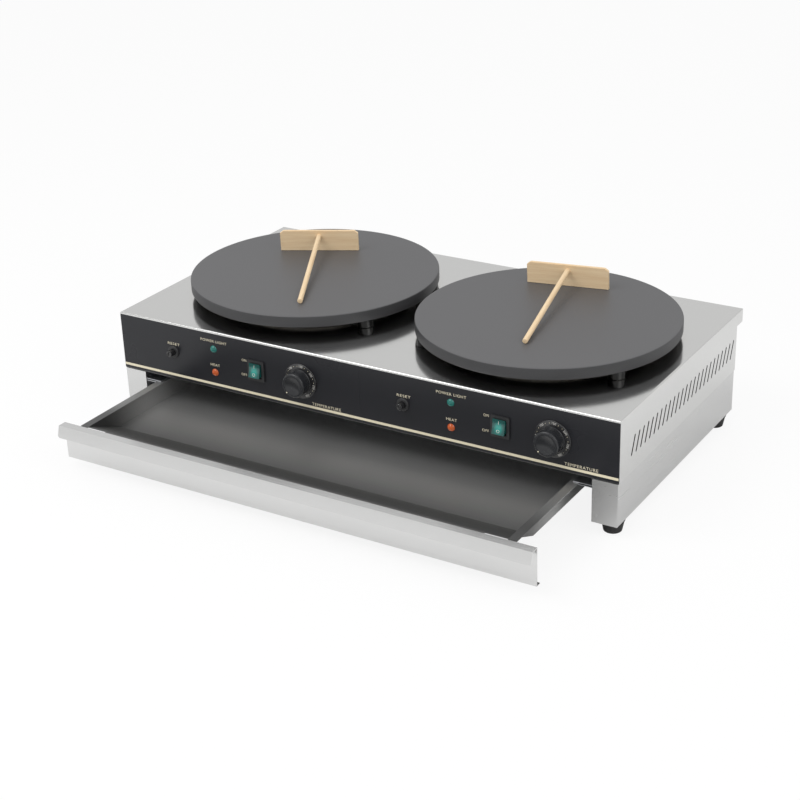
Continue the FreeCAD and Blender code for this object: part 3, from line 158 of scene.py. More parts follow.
def link_in(obj):
    """Puts an object in the scene."""
    bpy.context.scene.collection.objects.link(obj)
    return obj


def object_place(tree):
    """Coordinates on the object itself."""
    return add(tree, "ShaderNodeTexCoord").outputs["Object"]


def split_axes(tree, vector):
    """A vector's three numbers."""
    node = add(tree, "ShaderNodeSeparateXYZ")
    tree.links.new(vector, node.inputs[0])
    return node.outputs


def stretched(tree, vector, scales):
    """A vector with each axis scaled by its own number or socket."""
    node = add(tree, "ShaderNodeVectorMath", operation="MULTIPLY")
    tree.links.new(vector, node.inputs[0])
    if isinstance(scales, tuple):
        node.inputs[1].default_value = scales
    else:
        tree.links.new(scales, node.inputs[1])
    return node.outputs[0]


def ramp(tree, value, zero_at, one_at, eased=False):
    """0 to 1 as a value goes from one place to another."""
    node = add(tree, "ShaderNodeMapRange")
    if eased:
        node.interpolation_type = "SMOOTHSTEP"
    node.inputs["From Min"].default_value = zero_at
    node.inputs["From Max"].default_value = one_at
    tree.links.new(value, node.inputs["Value"])
    return node.outputs[0]


def distance(tree, across, along):
    """Length of a flat vector."""
    squares = [maths(tree, "MULTIPLY", side, side) for side in (across, along)]
    return maths(tree, "SQRT", maths(tree, "ADD", *squares))


def maths(tree, operation, a, b=None, clamp=False):
    """One sum on numbers or sockets."""
    node = add(tree, "ShaderNodeMath", operation=operation, use_clamp=clamp)
    for socket, value in zip(node.inputs, (a, b)):
        if value is None:
            continue
        if isinstance(value, (int, float)):
            socket.default_value = value
        else:
            tree.links.new(value, socket)
    return node.outputs[0]


def blend(tree, a, share_a, b, share_b):
    """Two values added in the shares given."""
    parts = [maths(tree, "MULTIPLY", a, share_a), maths(tree, "MULTIPLY", b, share_b)]
    return maths(tree, "ADD", *parts)


def noise(tree, vector, scale, detail=2.0, rough=0.5):
    node = add(tree, "ShaderNodeTexNoise")
    tree.links.new(vector, node.inputs["Vector"])
    if isinstance(scale, (int, float)):
        node.inputs["Scale"].default_value = scale
    else:
        tree.links.new(scale, node.inputs["Scale"])
    node.inputs["Detail"].default_value = detail
    node.inputs["Roughness"].default_value = rough
    return node.outputs["Fac"]


def spread(tree, value, low, high):
    """Maps 0..1 to low..high."""
    node = add(tree, "ShaderNodeMapRange")
    tree.links.new(value, node.inputs["Value"])
    for name, number in (("To Min", low), ("To Max", high)):
        if isinstance(number, (int, float)):
            node.inputs[name].default_value = number
        else:
            tree.links.new(number, node.inputs[name])
    return node.outputs["Result"]


def mix_colour(tree, mask, a, b):
    node = add(tree, "ShaderNodeMix", data_type="RGBA")
    tree.links.new(mask, node.inputs["Factor"])
    for socket, value in ((node.inputs[6], a), (node.inputs[7], b)):
        if isinstance(value, tuple):
            socket.default_value = value
        else:
            tree.links.new(value, socket)
    return node.outputs[2]


def brushing_group():
    """Fine lines of brushed sheet, longest along the smallest number of Lines."""
    group, given, out = new_group("brushing", [
        ("Lines", "NodeSocketVector", (6.0, 900.0, 900.0)),
        ("Tone", "NodeSocketColor", (0.5, 0.5, 0.49, 1)),
        ("Depth", "NodeSocketFloat", 0.06),
        ("Rough Low", "NodeSocketFloat", 0.2),
        ("Rough High", "NodeSocketFloat", 0.32),
    ], SURFACE)
    place = object_place(group)
    lines = noise(group, stretched(group, place, given.outputs["Lines"]), 1.0, 3.0, 0.6)
    clouds = noise(group, place, 3.5, 2.0, 0.5)
    depth = given.outputs["Depth"]
    darker = maths(group, "SUBTRACT", 1.0, maths(group, "MULTIPLY", lines, depth))
    cloudy = maths(group, "MULTIPLY", clouds, maths(group, "MULTIPLY", depth, 0.6))
    shade = maths(group, "SUBTRACT", darker, cloudy)
    tint = add(group, "ShaderNodeVectorMath", operation="SCALE")
    group.links.new(given.outputs["Tone"], tint.inputs[0])
    group.links.new(shade, tint.inputs["Scale"])
    group.links.new(tint.outputs[0], out.inputs["Color"])
    both = blend(group, lines, 0.6, clouds, 0.4)
    rough = spread(group, both, given.outputs["Rough Low"], given.outputs["Rough High"])
    group.links.new(rough, out.inputs["Roughness"])
    group.links.new(lines, out.inputs["Height"])
    return group


def mottle_group():
    """Soft patches with fine grit on top, for coatings, plastics and rubber."""
    group, given, out = new_group("mottle", [
        ("Patch Scale", "NodeSocketFloat", 9.0),
        ("Grit Scale", "NodeSocketFloat", 900.0),
        ("Light", "NodeSocketColor", (0.1, 0.1, 0.1, 1)),
        ("Dark", "NodeSocketColor", (0.05, 0.05, 0.05, 1)),
        ("Rough Low", "NodeSocketFloat", 0.4),
        ("Rough High", "NodeSocketFloat", 0.5),
    ], SURFACE)
    place = object_place(group)
    patches = noise(group, place, given.outputs["Patch Scale"], 3.0, 0.55)
    grit = noise(group, place, given.outputs["Grit Scale"], 1.0, 0.5)
    colour = mix_colour(group, patches, given.outputs["Dark"], given.outputs["Light"])
    group.links.new(colour, out.inputs["Color"])
    rough = spread(group, patches, given.outputs["Rough Low"], given.outputs["Rough High"])
    group.links.new(rough, out.inputs["Roughness"])
    group.links.new(grit, out.inputs["Height"])
    return group


def wood_group():
    """Long grain and fine fibre, along the X axis of the coordinates."""
    group, given, out = new_group("wood_grain", [
        ("Vector", "NodeSocketVector", (0.0, 0.0, 0.0)),
        ("Pale", "NodeSocketColor", (0.85, 0.66, 0.42, 1)),
        ("Dark", "NodeSocketColor", (0.66, 0.45, 0.24, 1)),
    ], SURFACE)
    vector = given.outputs["Vector"]
    grain = noise(group, stretched(group, vector, (9.0, 150.0, 150.0)), 1.0, 4.0, 0.6)
    fine = noise(group, stretched(group, vector, (60.0, 1400.0, 1400.0)), 1.0, 2.0, 0.5)
    both = blend(group, grain, 0.75, fine, 0.25)
    darkness = ramp(group, both, 0.36, 0.66)
    colour = mix_colour(group, darkness, given.outputs["Pale"], given.outputs["Dark"])
    group.links.new(colour, out.inputs["Color"])
    group.links.new(spread(group, fine, 0.5, 0.68), out.inputs["Roughness"])
    group.links.new(both, out.inputs["Height"])
    return group


def painted_reflection_group():
    """Painted reflection: straw and brown streaks on the sheet, standing for the griddles'
    undersides mirrored in the deck, fading out past the rims of the griddles.
    """
    full, gone = 0.15, 0.215        # distances from a griddle's middle
    group, given, out = new_group("painted_reflection", [
        ("Color", "NodeSocketColor", (0.5, 0.5, 0.5, 1)),
        # painted reflection colour, mixed into the sheet under the griddles
        ("Tint", "NodeSocketColor", (0.36, 0.28, 0.15, 1)),
        ("Amount", "NodeSocketFloat", 0.5),
    ], [("Color", "NodeSocketColor")])
    place = object_place(group)
    axes = split_axes(group, place)
    x = maths(group, "SUBTRACT", maths(group, "ABSOLUTE", axes[0]), PLATE_X)
    y = maths(group, "SUBTRACT", axes[1], PLATE_Y)
    near = ramp(group, distance(group, x, y), gone, full, eased=True)
    streak = noise(group, stretched(group, place, (26.0, 9.0, 9.0)), 1.0, 3.0, 0.6)
    mask = maths(group, "MULTIPLY", near, streak)
    mask = maths(group, "MULTIPLY", mask, given.outputs["Amount"])
    mask = maths(group, "MULTIPLY", mask, 1.7, clamp=True)
    colour = mix_colour(group, mask, given.outputs["Color"], given.outputs["Tint"])
    group.links.new(colour, out.inputs["Color"])
    return group


BRUSHING = brushing_group()
MOTTLE = mottle_group()
WOOD = wood_group()
PAINTED_REFLECTION = painted_reflection_group()


# Materials


def shader(name, metal=0.0, coat=0.0, bump=0.05, depth=0.0002, **sockets):
    """A material with its Principled shader and a bump node ready for a height."""
    material = bpy.data.materials.new(name)
    material.use_nodes = True
    tree = material.node_tree
    main = tree.nodes["Principled BSDF"]
    main.inputs["Metallic"].default_value = metal
    main.inputs["Coat Weight"].default_value = coat
    for label, value in sockets.items():
        main.inputs[label.replace("_", " ")].default_value = value
    bumps = add(tree, "ShaderNodeBump")
    bumps.inputs["Strength"].default_value = bump
    bumps.inputs["Distance"].default_value = depth
    tree.links.new(bumps.outputs[0], main.inputs["Normal"])
    return material, tree, main, bumps


def wire(tree, node, main, bumps):
    """Joins a group's colour, roughness and height to the shader."""
    tree.links.new(node.outputs["Color"], main.inputs["Base Color"])
    tree.links.new(node.outputs["Roughness"], main.inputs["Roughness"])
    tree.links.new(node.outputs["Height"], bumps.inputs["Height"])


def grouped(name, group, values, **kwargs):
    """A material whose colour, roughness and height come from a group."""
    material, tree, main, bumps = shader(name, **kwargs)
    node = add(tree, "ShaderNodeGroup", node_tree=group)
    for label, value in values.items():
        node.inputs[label].default_value = value
    wire(tree, node, main, bumps)
    return material, tree, main, node


def steel(name, lines, tone, low, high, depth=0.06, bump=0.04):
    return grouped(name, BRUSHING, {
        "Lines": lines, "Tone": (*tone, 1), "Depth": depth, "Rough Low": low, "Rough High": high,
    }, metal=1.0, bump=bump)


def coating(name, light, dark, low, high, patch=9.0, grit=900.0, **kwargs):
    return grouped(name, MOTTLE, {
        "Light": (*light, 1), "Dark": (*dark, 1), "Rough Low": low, "Rough High": high,
        "Patch Scale": patch, "Grit Scale": grit,
    }, **kwargs)[0]


def deck_steel():
    """Sheet of the cover: lines along the deck, with painted reflection as straw and brown streaks
    near the griddles.
    """
    material, tree, main, node = steel("deck_steel", (5.0, 700.0, 14.0), (0.74, 0.74, 0.73),
                                       0.1, 0.17)
    # painted reflection: streaks standing for the griddles' undersides, mixed into the deck's
    # colour
    tint = add(tree, "ShaderNodeGroup", node_tree=PAINTED_REFLECTION)
    tree.links.new(node.outputs["Color"], tint.inputs["Color"])
    tree.links.new(tint.outputs["Color"], main.inputs["Base Color"])
    return material


def tray_steel():
    """Dull sheet of the tray, with painted shade darkening it toward the drawer's front."""
    pale_y, dark_y = -0.24, -0.36
    material, tree, main, node = steel("tray_steel", (5.0, 500.0, 500.0), (0.62, 0.62, 0.615),
                                       0.44, 0.54)
    y = split_axes(tree, object_place(tree))[1]
    painted_shade_mask = ramp(tree, y, pale_y, dark_y, eased=True)
    # painted shade: the sheet's colour darkens toward the drawer's front
    tint = mix_colour(tree, painted_shade_mask, node.outputs["Color"], (0.15, 0.15, 0.149, 1))
    tree.links.new(tint, main.inputs["Base Color"])
    return material


def griddle_coating():
    """Grey non-stick top on a darker rim and underside."""
    material, tree, main, node = grouped("griddle_coating", MOTTLE, {
        "Light": (0.105, 0.105, 0.109, 1), "Dark": (0.085, 0.085, 0.088, 1),
        "Rough Low": 0.42, "Rough High": 0.5, "Patch Scale": 5.0, "Grit Scale": 700.0,
    }, bump=0.06)
    facing = split_axes(tree, add(tree, "ShaderNodeTexCoord").outputs["Normal"])
    upward = ramp(tree, facing[2], 0.3, 0.95)
    colour = mix_colour(tree, upward, (0.038, 0.038, 0.04, 1), node.outputs["Color"])
    tree.links.new(colour, main.inputs["Base Color"])
    return material


def rocker_lens():
    """Teal lens, lit in the middle and dark toward its edges."""
    lit, dark = 0.002, 0.0115       # distances from a lens's middle
    narrowing = 1.25                # of the lit spot, across the lens
    material, tree, main, node = grouped("teal_lens", MOTTLE, {
        "Light": (0.006, 0.22, 0.19, 1), "Dark": (0.004, 0.16, 0.135, 1),
        "Rough Low": 0.1, "Rough High": 0.18, "Patch Scale": 160.0, "Grit Scale": 900.0,
    }, coat=0.5, bump=0.01, Emission_Strength=0.12)
    axes = split_axes(tree, object_place(tree))
    across = maths(tree, "ABSOLUTE", maths(tree, "SUBTRACT", axes[0], SWITCH_X))
    across = maths(tree, "MULTIPLY", maths(tree, "SUBTRACT", across, PLATE_X), narrowing)
    along = maths(tree, "SUBTRACT", axes[2], CONTROL_Z)
    glow = ramp(tree, distance(tree, across, along), dark, lit, eased=True)
    colour = mix_colour(tree, glow, (0.003, 0.07, 0.062, 1), node.outputs["Color"])
    tree.links.new(colour, main.inputs["Base Color"])
    shine = mix_colour(tree, glow, (0.0, 0.02, 0.018, 1), (0.05, 0.8, 0.65, 1))
    tree.links.new(shine, main.inputs["Emission Color"])
    return material


MATERIALS = {
    "deck": deck_steel(),
    "front_steel": steel("front_steel", (3.0, 500.0, 900.0), (0.74, 0.74, 0.735), 0.18, 0.26)[0],
    "side_steel": steel("side_steel", (260.0, 6.0, 420.0), (0.68, 0.68, 0.675), 0.22, 0.3,
                        depth=0.03, bump=0.02)[0],
    "tray_steel": tray_steel(),
    # painted shade: the front panel's steel toned near black for the shade under the fascia
    "painted_shade_steel": steel("painted_shade_steel", (3.0, 500.0, 900.0), (0.12, 0.12, 0.12), 0.3, 0.4)[0],
    "zinc": steel("zinc", (60.0, 60.0, 60.0), (0.5, 0.51, 0.53), 0.3, 0.45)[0],
    # painted shade: the griddle legs' steel toned near black for the shade under the griddles
    "turned": steel("turned_steel", (40.0, 40.0, 1500.0), (0.045, 0.045, 0.045), 0.2, 0.3)[0],
    "element": steel("element_steel", (90.0, 90.0, 90.0), (0.2, 0.19, 0.18), 0.35, 0.5)[0],
    "copper": steel("copper", (90.0, 90.0, 90.0), (0.62, 0.32, 0.2), 0.25, 0.4)[0],
    "griddle": griddle_coating(),
    "fascia": coating("fascia_black", (0.017, 0.0175, 0.021), (0.013, 0.0135, 0.0165), 0.24, 0.32,
                      patch=6.0, grit=1500.0, bump=0.01, Specular_IOR_Level=0.34),
    "black": coating("black_plastic", (0.03, 0.03, 0.031), (0.016, 0.016, 0.017), 0.42, 0.55,
                     patch=60.0, grit=2500.0),
    "gloss": coating("black_gloss", (0.022, 0.022, 0.023), (0.012, 0.012, 0.013), 0.16, 0.26,
                     patch=60.0, grit=2500.0, coat=0.4, bump=0.02),
    "rubber": coating("foot_rubber", (0.03, 0.03, 0.03), (0.014, 0.014, 0.014), 0.6, 0.8,
                      patch=90.0, grit=1800.0, bump=0.2),
    "nylon": coating("grey_nylon", (0.17, 0.17, 0.175), (0.13, 0.13, 0.135), 0.4, 0.55, patch=80.0),
    "white": coating("white_plastic", (0.72, 0.7, 0.66), (0.62, 0.6, 0.56), 0.4, 0.55, patch=80.0),
    "red": coating("red_plastic", (0.5, 0.03, 0.02), (0.38, 0.02, 0.015), 0.3, 0.4, patch=80.0),
    "cream": coating("cream_print", (0.84, 0.77, 0.58), (0.76, 0.69, 0.51), 0.4, 0.55,
                     patch=30.0, bump=0.02),
    "teal": rocker_lens(),
    "knob": coating("knob_plastic", (0.02, 0.021, 0.024), (0.014, 0.015, 0.017), 0.24, 0.3,
                    patch=60.0, grit=1200.0, bump=0.005),
    "green": coating("green_lens", (0.006, 0.16, 0.14), (0.003, 0.09, 0.075), 0.12, 0.2,
                     patch=160.0, coat=0.15, bump=0.01,
                     Emission_Color=(0.02, 0.4, 0.33, 1), Emission_Strength=0.04),
    "orange": coating("orange_lens", (0.5, 0.09, 0.004), (0.3, 0.04, 0.002), 0.12, 0.2,
                      patch=160.0, coat=0.15, bump=0.01,
                      Emission_Color=(1.0, 0.16, 0.03, 1), Emission_Strength=0.08),
}


def beech(name, turn, foot_x, foot_y, along_handle):
    """Pale wood whose grain follows a spreader's blade or its handle."""
    material, tree, main, bumps = shader(name, bump=0.12, depth=0.0003)
    mapping = add(tree, "ShaderNodeMapping", vector_type="TEXTURE")
    mapping.inputs["Location"].default_value = (foot_x, foot_y, PLATE_TOP)
    quarter = math.pi / 2 if along_handle else 0.0
    mapping.inputs["Rotation"].default_value = (0, 0, math.radians(turn) + quarter)
    tree.links.new(object_place(tree), mapping.inputs["Vector"])
    node = add(tree, "ShaderNodeGroup", node_tree=WOOD)
    node.inputs["Pale"].default_value = (0.86, 0.68, 0.45, 1)
    node.inputs["Dark"].default_value = (0.74, 0.53, 0.31, 1)
    tree.links.new(mapping.outputs[0], node.inputs["Vector"])
    wire(tree, node, main, bumps)
    return material


# The finish of each CAD node

NODE_FINISH = {
    "deck_cover": "deck", "rear_panel": "side_steel", "housing_floor": "zinc",
    "front_panel": "painted_shade_steel", "fascia_left": "fascia", "fascia_right": "fascia",
    "base_back": "side_steel", "base_side_left": "side_steel", "base_side_right": "side_steel",
    "drawer_runner_left": "zinc", "drawer_runner_right": "zinc", "rear_screws": "zinc",
    "foot_screws": "zinc", "plate_spacers": "turned", "plate_studs": "zinc",
    "lamp_holders": "black", "reset_collars": "black", "cable_gland": "nylon",
    "terminal_block": "white", "drawer_front": "front_steel", "drawer_tray": "tray_steel",
    "drawer_rivets": "zinc",
}
PAIR_FINISH = {
    "baking_plate": "griddle", "heating_element": "element", "heater_clamp": "zinc",
    "thermostat": "black", "thermostat_shaft": "zinc", "thermostat_bulb": "copper",
    "dial": "gloss", "knob": "gloss", "switch_body": "black", "switch_rocker": "teal",
    "power_lamp": "green", "heat_lamp": "orange", "limiter": "black", "reset_cap": "gloss",
    "reset_pin": "red",
}


def finish_nodes():
    """Gives every CAD node its finish."""
    finishes = dict(NODE_FINISH)
    for side, _ in SIDES:
        for stem, finish in PAIR_FINISH.items():
            finishes[f"{stem}_{side}"] = finish
    for corner in FEET:
        finishes[f"foot_{corner}"] = "rubber"
    for node, finish in finishes.items():
        dress(NODES[node], MATERIALS[finish])


def dress(obj, material):
    obj.data.materials.clear()
    obj.data.materials.append(material)


# Piece helpers


def piece(name, mesh, material, body, stands_for=()):
    """A dressed piece on its body, with the CAD nodes that it stands for."""
    obj = link_in(bpy.data.objects.new(name, mesh))
    dress(obj, material)
    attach(obj, body)
    if stands_for:
        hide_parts(*stands_for)
    return obj


def as_mesh(bm, name):
    """A mesh with its normals out, smooth but for its sharp edges."""
    bmesh.ops.recalc_face_normals(bm, faces=bm.faces)
    for face in bm.faces:
        face.smooth = True
    for edge in bm.edges:
        edge.smooth = edge.calc_face_angle(0.0) < SHARP
    mesh = bpy.data.meshes.new(name)
    bm.to_mesh(mesh)
    bm.free()
    return mesh


def lathed(name, profile, place, around=96):
    """Mesh turned from a closed or axis-to-axis (radius, height) profile."""
    bm = bmesh.new()
    rings = []
    for r, h in profile:
        if r < 1e-7:
            rings.append([bm.verts.new((0, 0, h))])
        else:
            turns = [2 * math.pi * k / around for k in range(around)]
            rings.append([bm.verts.new((r * math.cos(t), r * math.sin(t), h)) for t in turns])
    pairs = list(zip(rings, rings[1:]))
    if len(rings[0]) > 1 and len(rings[-1]) > 1:
        pairs.append((rings[-1], rings[0]))
    for low, high in pairs:
        for k in range(around):
            n = (k + 1) % around
            corners = [low[k % len(low)], low[n % len(low)],
                       high[n % len(high)], high[k % len(high)]]
            unique = list(dict.fromkeys(corners))
            if len(unique) > 2:
                bm.faces.new(unique)
    bm.transform(place)
    return as_mesh(bm, name)


def gathered(name, profile, places, around):
    """One mesh of equal turned pieces."""
    bm = bmesh.new()
    for place in places:
        mesh = lathed(name, profile, place, around)
        bm.from_mesh(mesh)
        bpy.data.meshes.remove(mesh)
    return as_mesh(bm, name)


def dot_profile(radius, height):
    """Outline of a flat printed dot."""
    return [(0, 0), (radius, 0), (radius, height), (0, height)]


def arc(cx, cy, radius, start, stop, steps):
    """Points of an arc in the (radius, height) plane, angles in degrees."""
    points = []
    for k in range(steps + 1):
        angle = math.radians(start + (stop - start) * k / steps)
        points.append((cx + radius * math.cos(angle), cy + radius * math.sin(angle)))
    return points


def facing_front(x, y, z):
    """Places local +Z along -Y, at a point of the front."""
    return Matrix.Translation((x, y, z)) @ Matrix.Rotation(math.pi / 2, 4, "X")


def slab(name, low, high):
    """Mesh of a plain block between two corners."""
    bm = bmesh.new()
    size = [b - a for a, b in zip(low, high)]
    middle = [(a + b) / 2 for a, b in zip(low, high)]
    place = Matrix.Translation(middle) @ Matrix.Diagonal((*size, 1))
    bmesh.ops.create_cube(bm, size=1.0, matrix=place)
    return as_mesh(bm, name)


def lettering(name, words, material, body, place, height, width=None, spacing=1.0):
    """Flat raised letters, centred on a place and facing its local +Z."""
    curve = bpy.data.curves.new(name, "FONT")
    curve.body = words
    curve.align_x = "CENTER"
    curve.align_y = "CENTER"
    curve.space_character = spacing
    curve.extrude = LETTER_EXTRUDE
    curve.offset = LETTER_OFFSET
    holder = link_in(bpy.data.objects.new(name + "_text", curve))
    bpy.context.view_layer.update()
    ready = holder.evaluated_get(bpy.context.evaluated_depsgraph_get())
    mesh = bpy.data.meshes.new_from_object(ready)
    bpy.data.objects.remove(holder)
    points = [v.co.copy() for v in mesh.vertices]
    low = Vector([min(p[k] for p in points) for k in range(3)])
    high = Vector([max(p[k] for p in points) for k in range(3)])
    size = high - low
    tall = height / size.y
    wide = width / size.x if width else tall
    depth = LETTER_DEPTH / size.z
    middle = (low + high) / 2
    fit = Matrix.Diagonal((wide, tall, depth, 1)) @ Matrix.Translation(-middle)
    mesh.transform(place @ fit)
    return piece(name, mesh, material, body)


# Griddles, their legs and the feet


def griddle(side, sign):
    """Thick plate with broken edges, hollow underneath."""
    top = PLATE_TOP - PLATE_LOW
    inner = PLATE_RADIUS - PLATE_EDGE
    profile = [(0, 0.006), (0.012, 0.0055), (0.168, 0.0052), (0.170, 0.004), (0.1705, 0)]
    profile += arc(inner, PLATE_EDGE, PLATE_EDGE, -90, 0, 4)
    profile += arc(inner, top - PLATE_EDGE, PLATE_EDGE, 0, 90, 5)
    profile += [(PLATE_RADIUS - 0.006, top), (0.10, top), (0, top)]
    place = Matrix.Translation((sign * PLATE_X, PLATE_Y, PLATE_LOW))
    mesh = lathed(f"griddle_{side}", profile, place, around=192)
    piece(f"griddle_{side}", mesh, MATERIALS["griddle"], "housing",
          [f"baking_plate_{side}"])


def legs():
    """Turned spacers, four under each griddle."""
    profile = [(0.0042, 0), (0.0115, 0), (0.0125, 0.001), (0.0125, 0.012),
               (0.0115, 0.013), (0.0042, 0.013)]
    places = []
    for _, sign in SIDES:
        for angle in map(math.radians, LEG_ANGLES):
            places.append(Matrix.Translation((
                sign * PLATE_X + LEG_CIRCLE * math.cos(angle),
                PLATE_Y + LEG_CIRCLE * math.sin(angle), DECK_Z)))
    mesh = gathered("griddle_legs", profile, places, around=48)
    piece("griddle_legs", mesh, MATERIALS["turned"], "housing", ["plate_spacers"])


def feet():
    """Tapered rubber feet with a rounded sole and a screw recess."""
    sole = 0.0015
    profile = [(0.0034, 0.009), (0.007, 0.009), (0.007, 0.0)]
    profile += arc(0.0135 - sole, sole, sole, -90, -10, 3)
    profile += [(0.0166, 0.0165), (0.0175, 0.0172), (0.0175, 0.02), (0.0034, 0.02)]
    for corner, (x, y) in FEET.items():
        name = f"rubber_foot_{corner}"
        mesh = lathed(name, profile, Matrix.Translation((x, y, 0)), around=64)
        piece(name, mesh, MATERIALS["rubber"], "housing", [f"foot_{corner}"])


# Controls


def control_place(sign, offset, lift=0.0):
    """A place on the panel's face, beside or above the controls' line."""
    return facing_front(sign * PLATE_X + offset, FRONT_Y, CONTROL_Z + lift)


def round_knob(sign, radius, degrees, out):
    """A place on a circle round the knob's axis, some way out of the panel."""
    angle = math.radians(degrees)
    across, lift = radius * math.cos(angle), radius * math.sin(angle)
    return control_place(sign, KNOB_X + across, lift) @ Matrix.Translation((0, 0, out))


def knob_and_dial(side, sign):
    """Scale plate with its figures, and the dished knob over it."""
    place = control_place(sign, KNOB_X)
    profile = [(0.004, 0.0), (DIAL_RADIUS, 0.0)]
    profile += arc(DIAL_RADIUS - DIAL_RIM, DIAL_FRONT - DIAL_RIM, DIAL_RIM, 0, 90, 3)
    profile += [(0.004, DIAL_FRONT)]
    mesh = lathed(f"scale_plate_{side}", profile, place)
    piece(f"scale_plate_{side}", mesh, MATERIALS["gloss"], "housing",
          [f"dial_{side}"])
    body = f"{side}_knob"
    mesh = lathed(f"control_knob_{side}", knob_profile(), place)
    piece(f"control_knob_{side}", mesh, MATERIALS["knob"], body, [f"knob_{side}"])
    for k, number in enumerate(SCALE_NUMBERS):
        degrees = SCALE_START - STEPS_PER_NUMBER * SCALE_STEP * k
        spot = round_knob(sign, SCALE_RADIUS, degrees, DIAL_FRONT)
        turned = spot @ Matrix.Rotation(math.radians(degrees) - math.pi / 2, 4, "Z")
        lettering(f"scale_{number}_{side}", number, MATERIALS["white"], "housing",
                  turned, SCALE_NUMBER_HEIGHT)
    for k in range(STEPS_PER_NUMBER * (len(SCALE_NUMBERS) - 1)):
        if k % STEPS_PER_NUMBER:
            name = f"scale_dot_{side}_{k}"
            spot = round_knob(sign, SCALE_RADIUS, SCALE_START - SCALE_STEP * k, DIAL_FRONT)
            dot = lathed(name, dot_profile(*SCALE_DOT), spot, around=12)
            piece(name, dot, MATERIALS["cream"], "housing")
    spot = round_knob(sign, KNOB_MARK_RADIUS, KNOB_MARK_ANGLE, KNOB_FRONT)
    dot = lathed(f"knob_mark_{side}", dot_profile(*KNOB_MARK), spot, around=20)
    piece(f"knob_mark_{side}", dot, MATERIALS["cream"], body)


def knob_profile():
    """Outline of the knob: shaft seat, skirt, rounded front edge and dish."""
    back, skirt = 0.003, 0.0052
    profile = [(0.0, 0.0168), (0.0031, 0.0168), (0.0031, back), (KNOB_RADIUS, back)]
    profile += [(KNOB_RADIUS, skirt), (KNOB_RADIUS - 0.0004, 0.0058)]
    profile += arc(KNOB_RADIUS - 0.0007 - KNOB_EDGE, KNOB_FRONT - KNOB_EDGE, KNOB_EDGE, 0, 90, 6)
    profile += [(KNOB_DISH + 0.0016, KNOB_FRONT), (KNOB_DISH + 0.0006, KNOB_FRONT - 0.0002)]
    for k in range(1, 9):
        r = KNOB_DISH * (1 - k / 8)
        sunk = KNOB_DISH_DEPTH * (1 - (r / KNOB_DISH) ** 2)
        profile.append((r, KNOB_FRONT - sunk - 0.0003))
    return profile


def lamps(side, sign):
    """Domed lenses of the power lamp and the heat lamp."""
    for stem, lift, finish, slot in (("power_lamp", LAMP_LIFT, "green", "green_lens"),
                                     ("heat_lamp", -LAMP_LIFT, "orange", "orange_lens")):
        neck, back = 0.0038, -0.004
        profile = [(0.0, back), (neck, back), (neck, 0.0), (LAMP_RADIUS, 0.0)]
        ball = (LAMP_RADIUS ** 2 + LAMP_DOME ** 2) / (2 * LAMP_DOME)
        for k in range(1, 9):
            r = LAMP_RADIUS * math.cos(math.pi / 16 * k)
            profile.append((max(r, 0.0), LAMP_DOME - ball + math.sqrt(ball ** 2 - r ** 2)))
        name = f"{stem}_lens_{side}"
        mesh = lathed(name, profile, control_place(sign, LAMP_X, lift), around=48)
        piece(name, mesh, MATERIALS[finish], "housing", [f"{stem}_{side}"])


def reset_cap(side, sign):
    """Screw cap with a driver slot across its face and a knurled skirt."""
    bm = bmesh.new()
    around = 48
    heights = [0.0003, 0.0008, 0.0116, 0.0124, CAP_FRONT]
    insets = [0.0004, 0.0, 0.0, 0.0002, 0.0009]
    rings = []
    for h, inset in zip(heights, insets):
        ring = []
        for k in range(around):
            knurl = CAP_KNURL if k % 2 and inset == 0.0 else 0.0
            r = CAP_RADIUS - inset - knurl
            angle = 2 * math.pi * (k + 0.5) / around
            ring.append(bm.verts.new((r * math.cos(angle), r * math.sin(angle), h)))
        rings.append(ring)
    for low, high in zip(rings, rings[1:]):
        for k in range(around):
            n = (k + 1) % around
            bm.faces.new((low[k], low[n], high[n], high[k]))
    bm.faces.new(rings[0][::-1])
    bm.faces.new(rings[-1])
    bm.transform(control_place(sign, RESET_X))
    mesh = as_mesh(bm, f"screw_cap_{side}")
    cap = piece(f"screw_cap_{side}", mesh, MATERIALS["gloss"], f"{side}_reset_cap",
                [f"reset_cap_{side}"])
    reach, over = 0.007, 0.001
    cutter = slab(f"slot_tool_{side}", (-reach, -CAP_SLOT_HALF, CAP_FRONT - CAP_SLOT_DEPTH),
                  (reach, CAP_SLOT_HALF, CAP_FRONT + over))
    turn = Matrix.Rotation(math.radians(CAP_SLOT_ANGLE), 4, "Z")
    cutter.transform(control_place(sign, RESET_X) @ turn)
    cut_from(cap, cutter)


def cut_from(obj, tool_mesh):
    """Takes a tool's shape out of a piece, for good."""
    tool = link_in(bpy.data.objects.new("cutting_tool", tool_mesh))
    cut = obj.modifiers.new("cut", "BOOLEAN")
    cut.operation = "DIFFERENCE"
    cut.solver = "EXACT"
    cut.object = tool
    bpy.context.view_layer.update()
    ready = obj.evaluated_get(bpy.context.evaluated_depsgraph_get())
    mesh = bpy.data.meshes.new_from_object(ready)
    obj.modifiers.remove(cut)
    bpy.data.objects.remove(tool)
    obj.data = mesh


def collars():
    """Round collars behind the two screw caps."""
    profile = [(0.0056, 0.0), (0.010, 0.0), (0.010, 0.0014)]
    profile += arc(0.0084, 0.0014, 0.0016, 10, 90, 4) + [(0.0056, 0.003)]
    places = [control_place(sign, RESET_X) for _, sign in SIDES]
    mesh = gathered("button_collars", profile, places, around=64)
    piece("button_collars", mesh, MATERIALS["black"], "housing",
          ["reset_collars"])


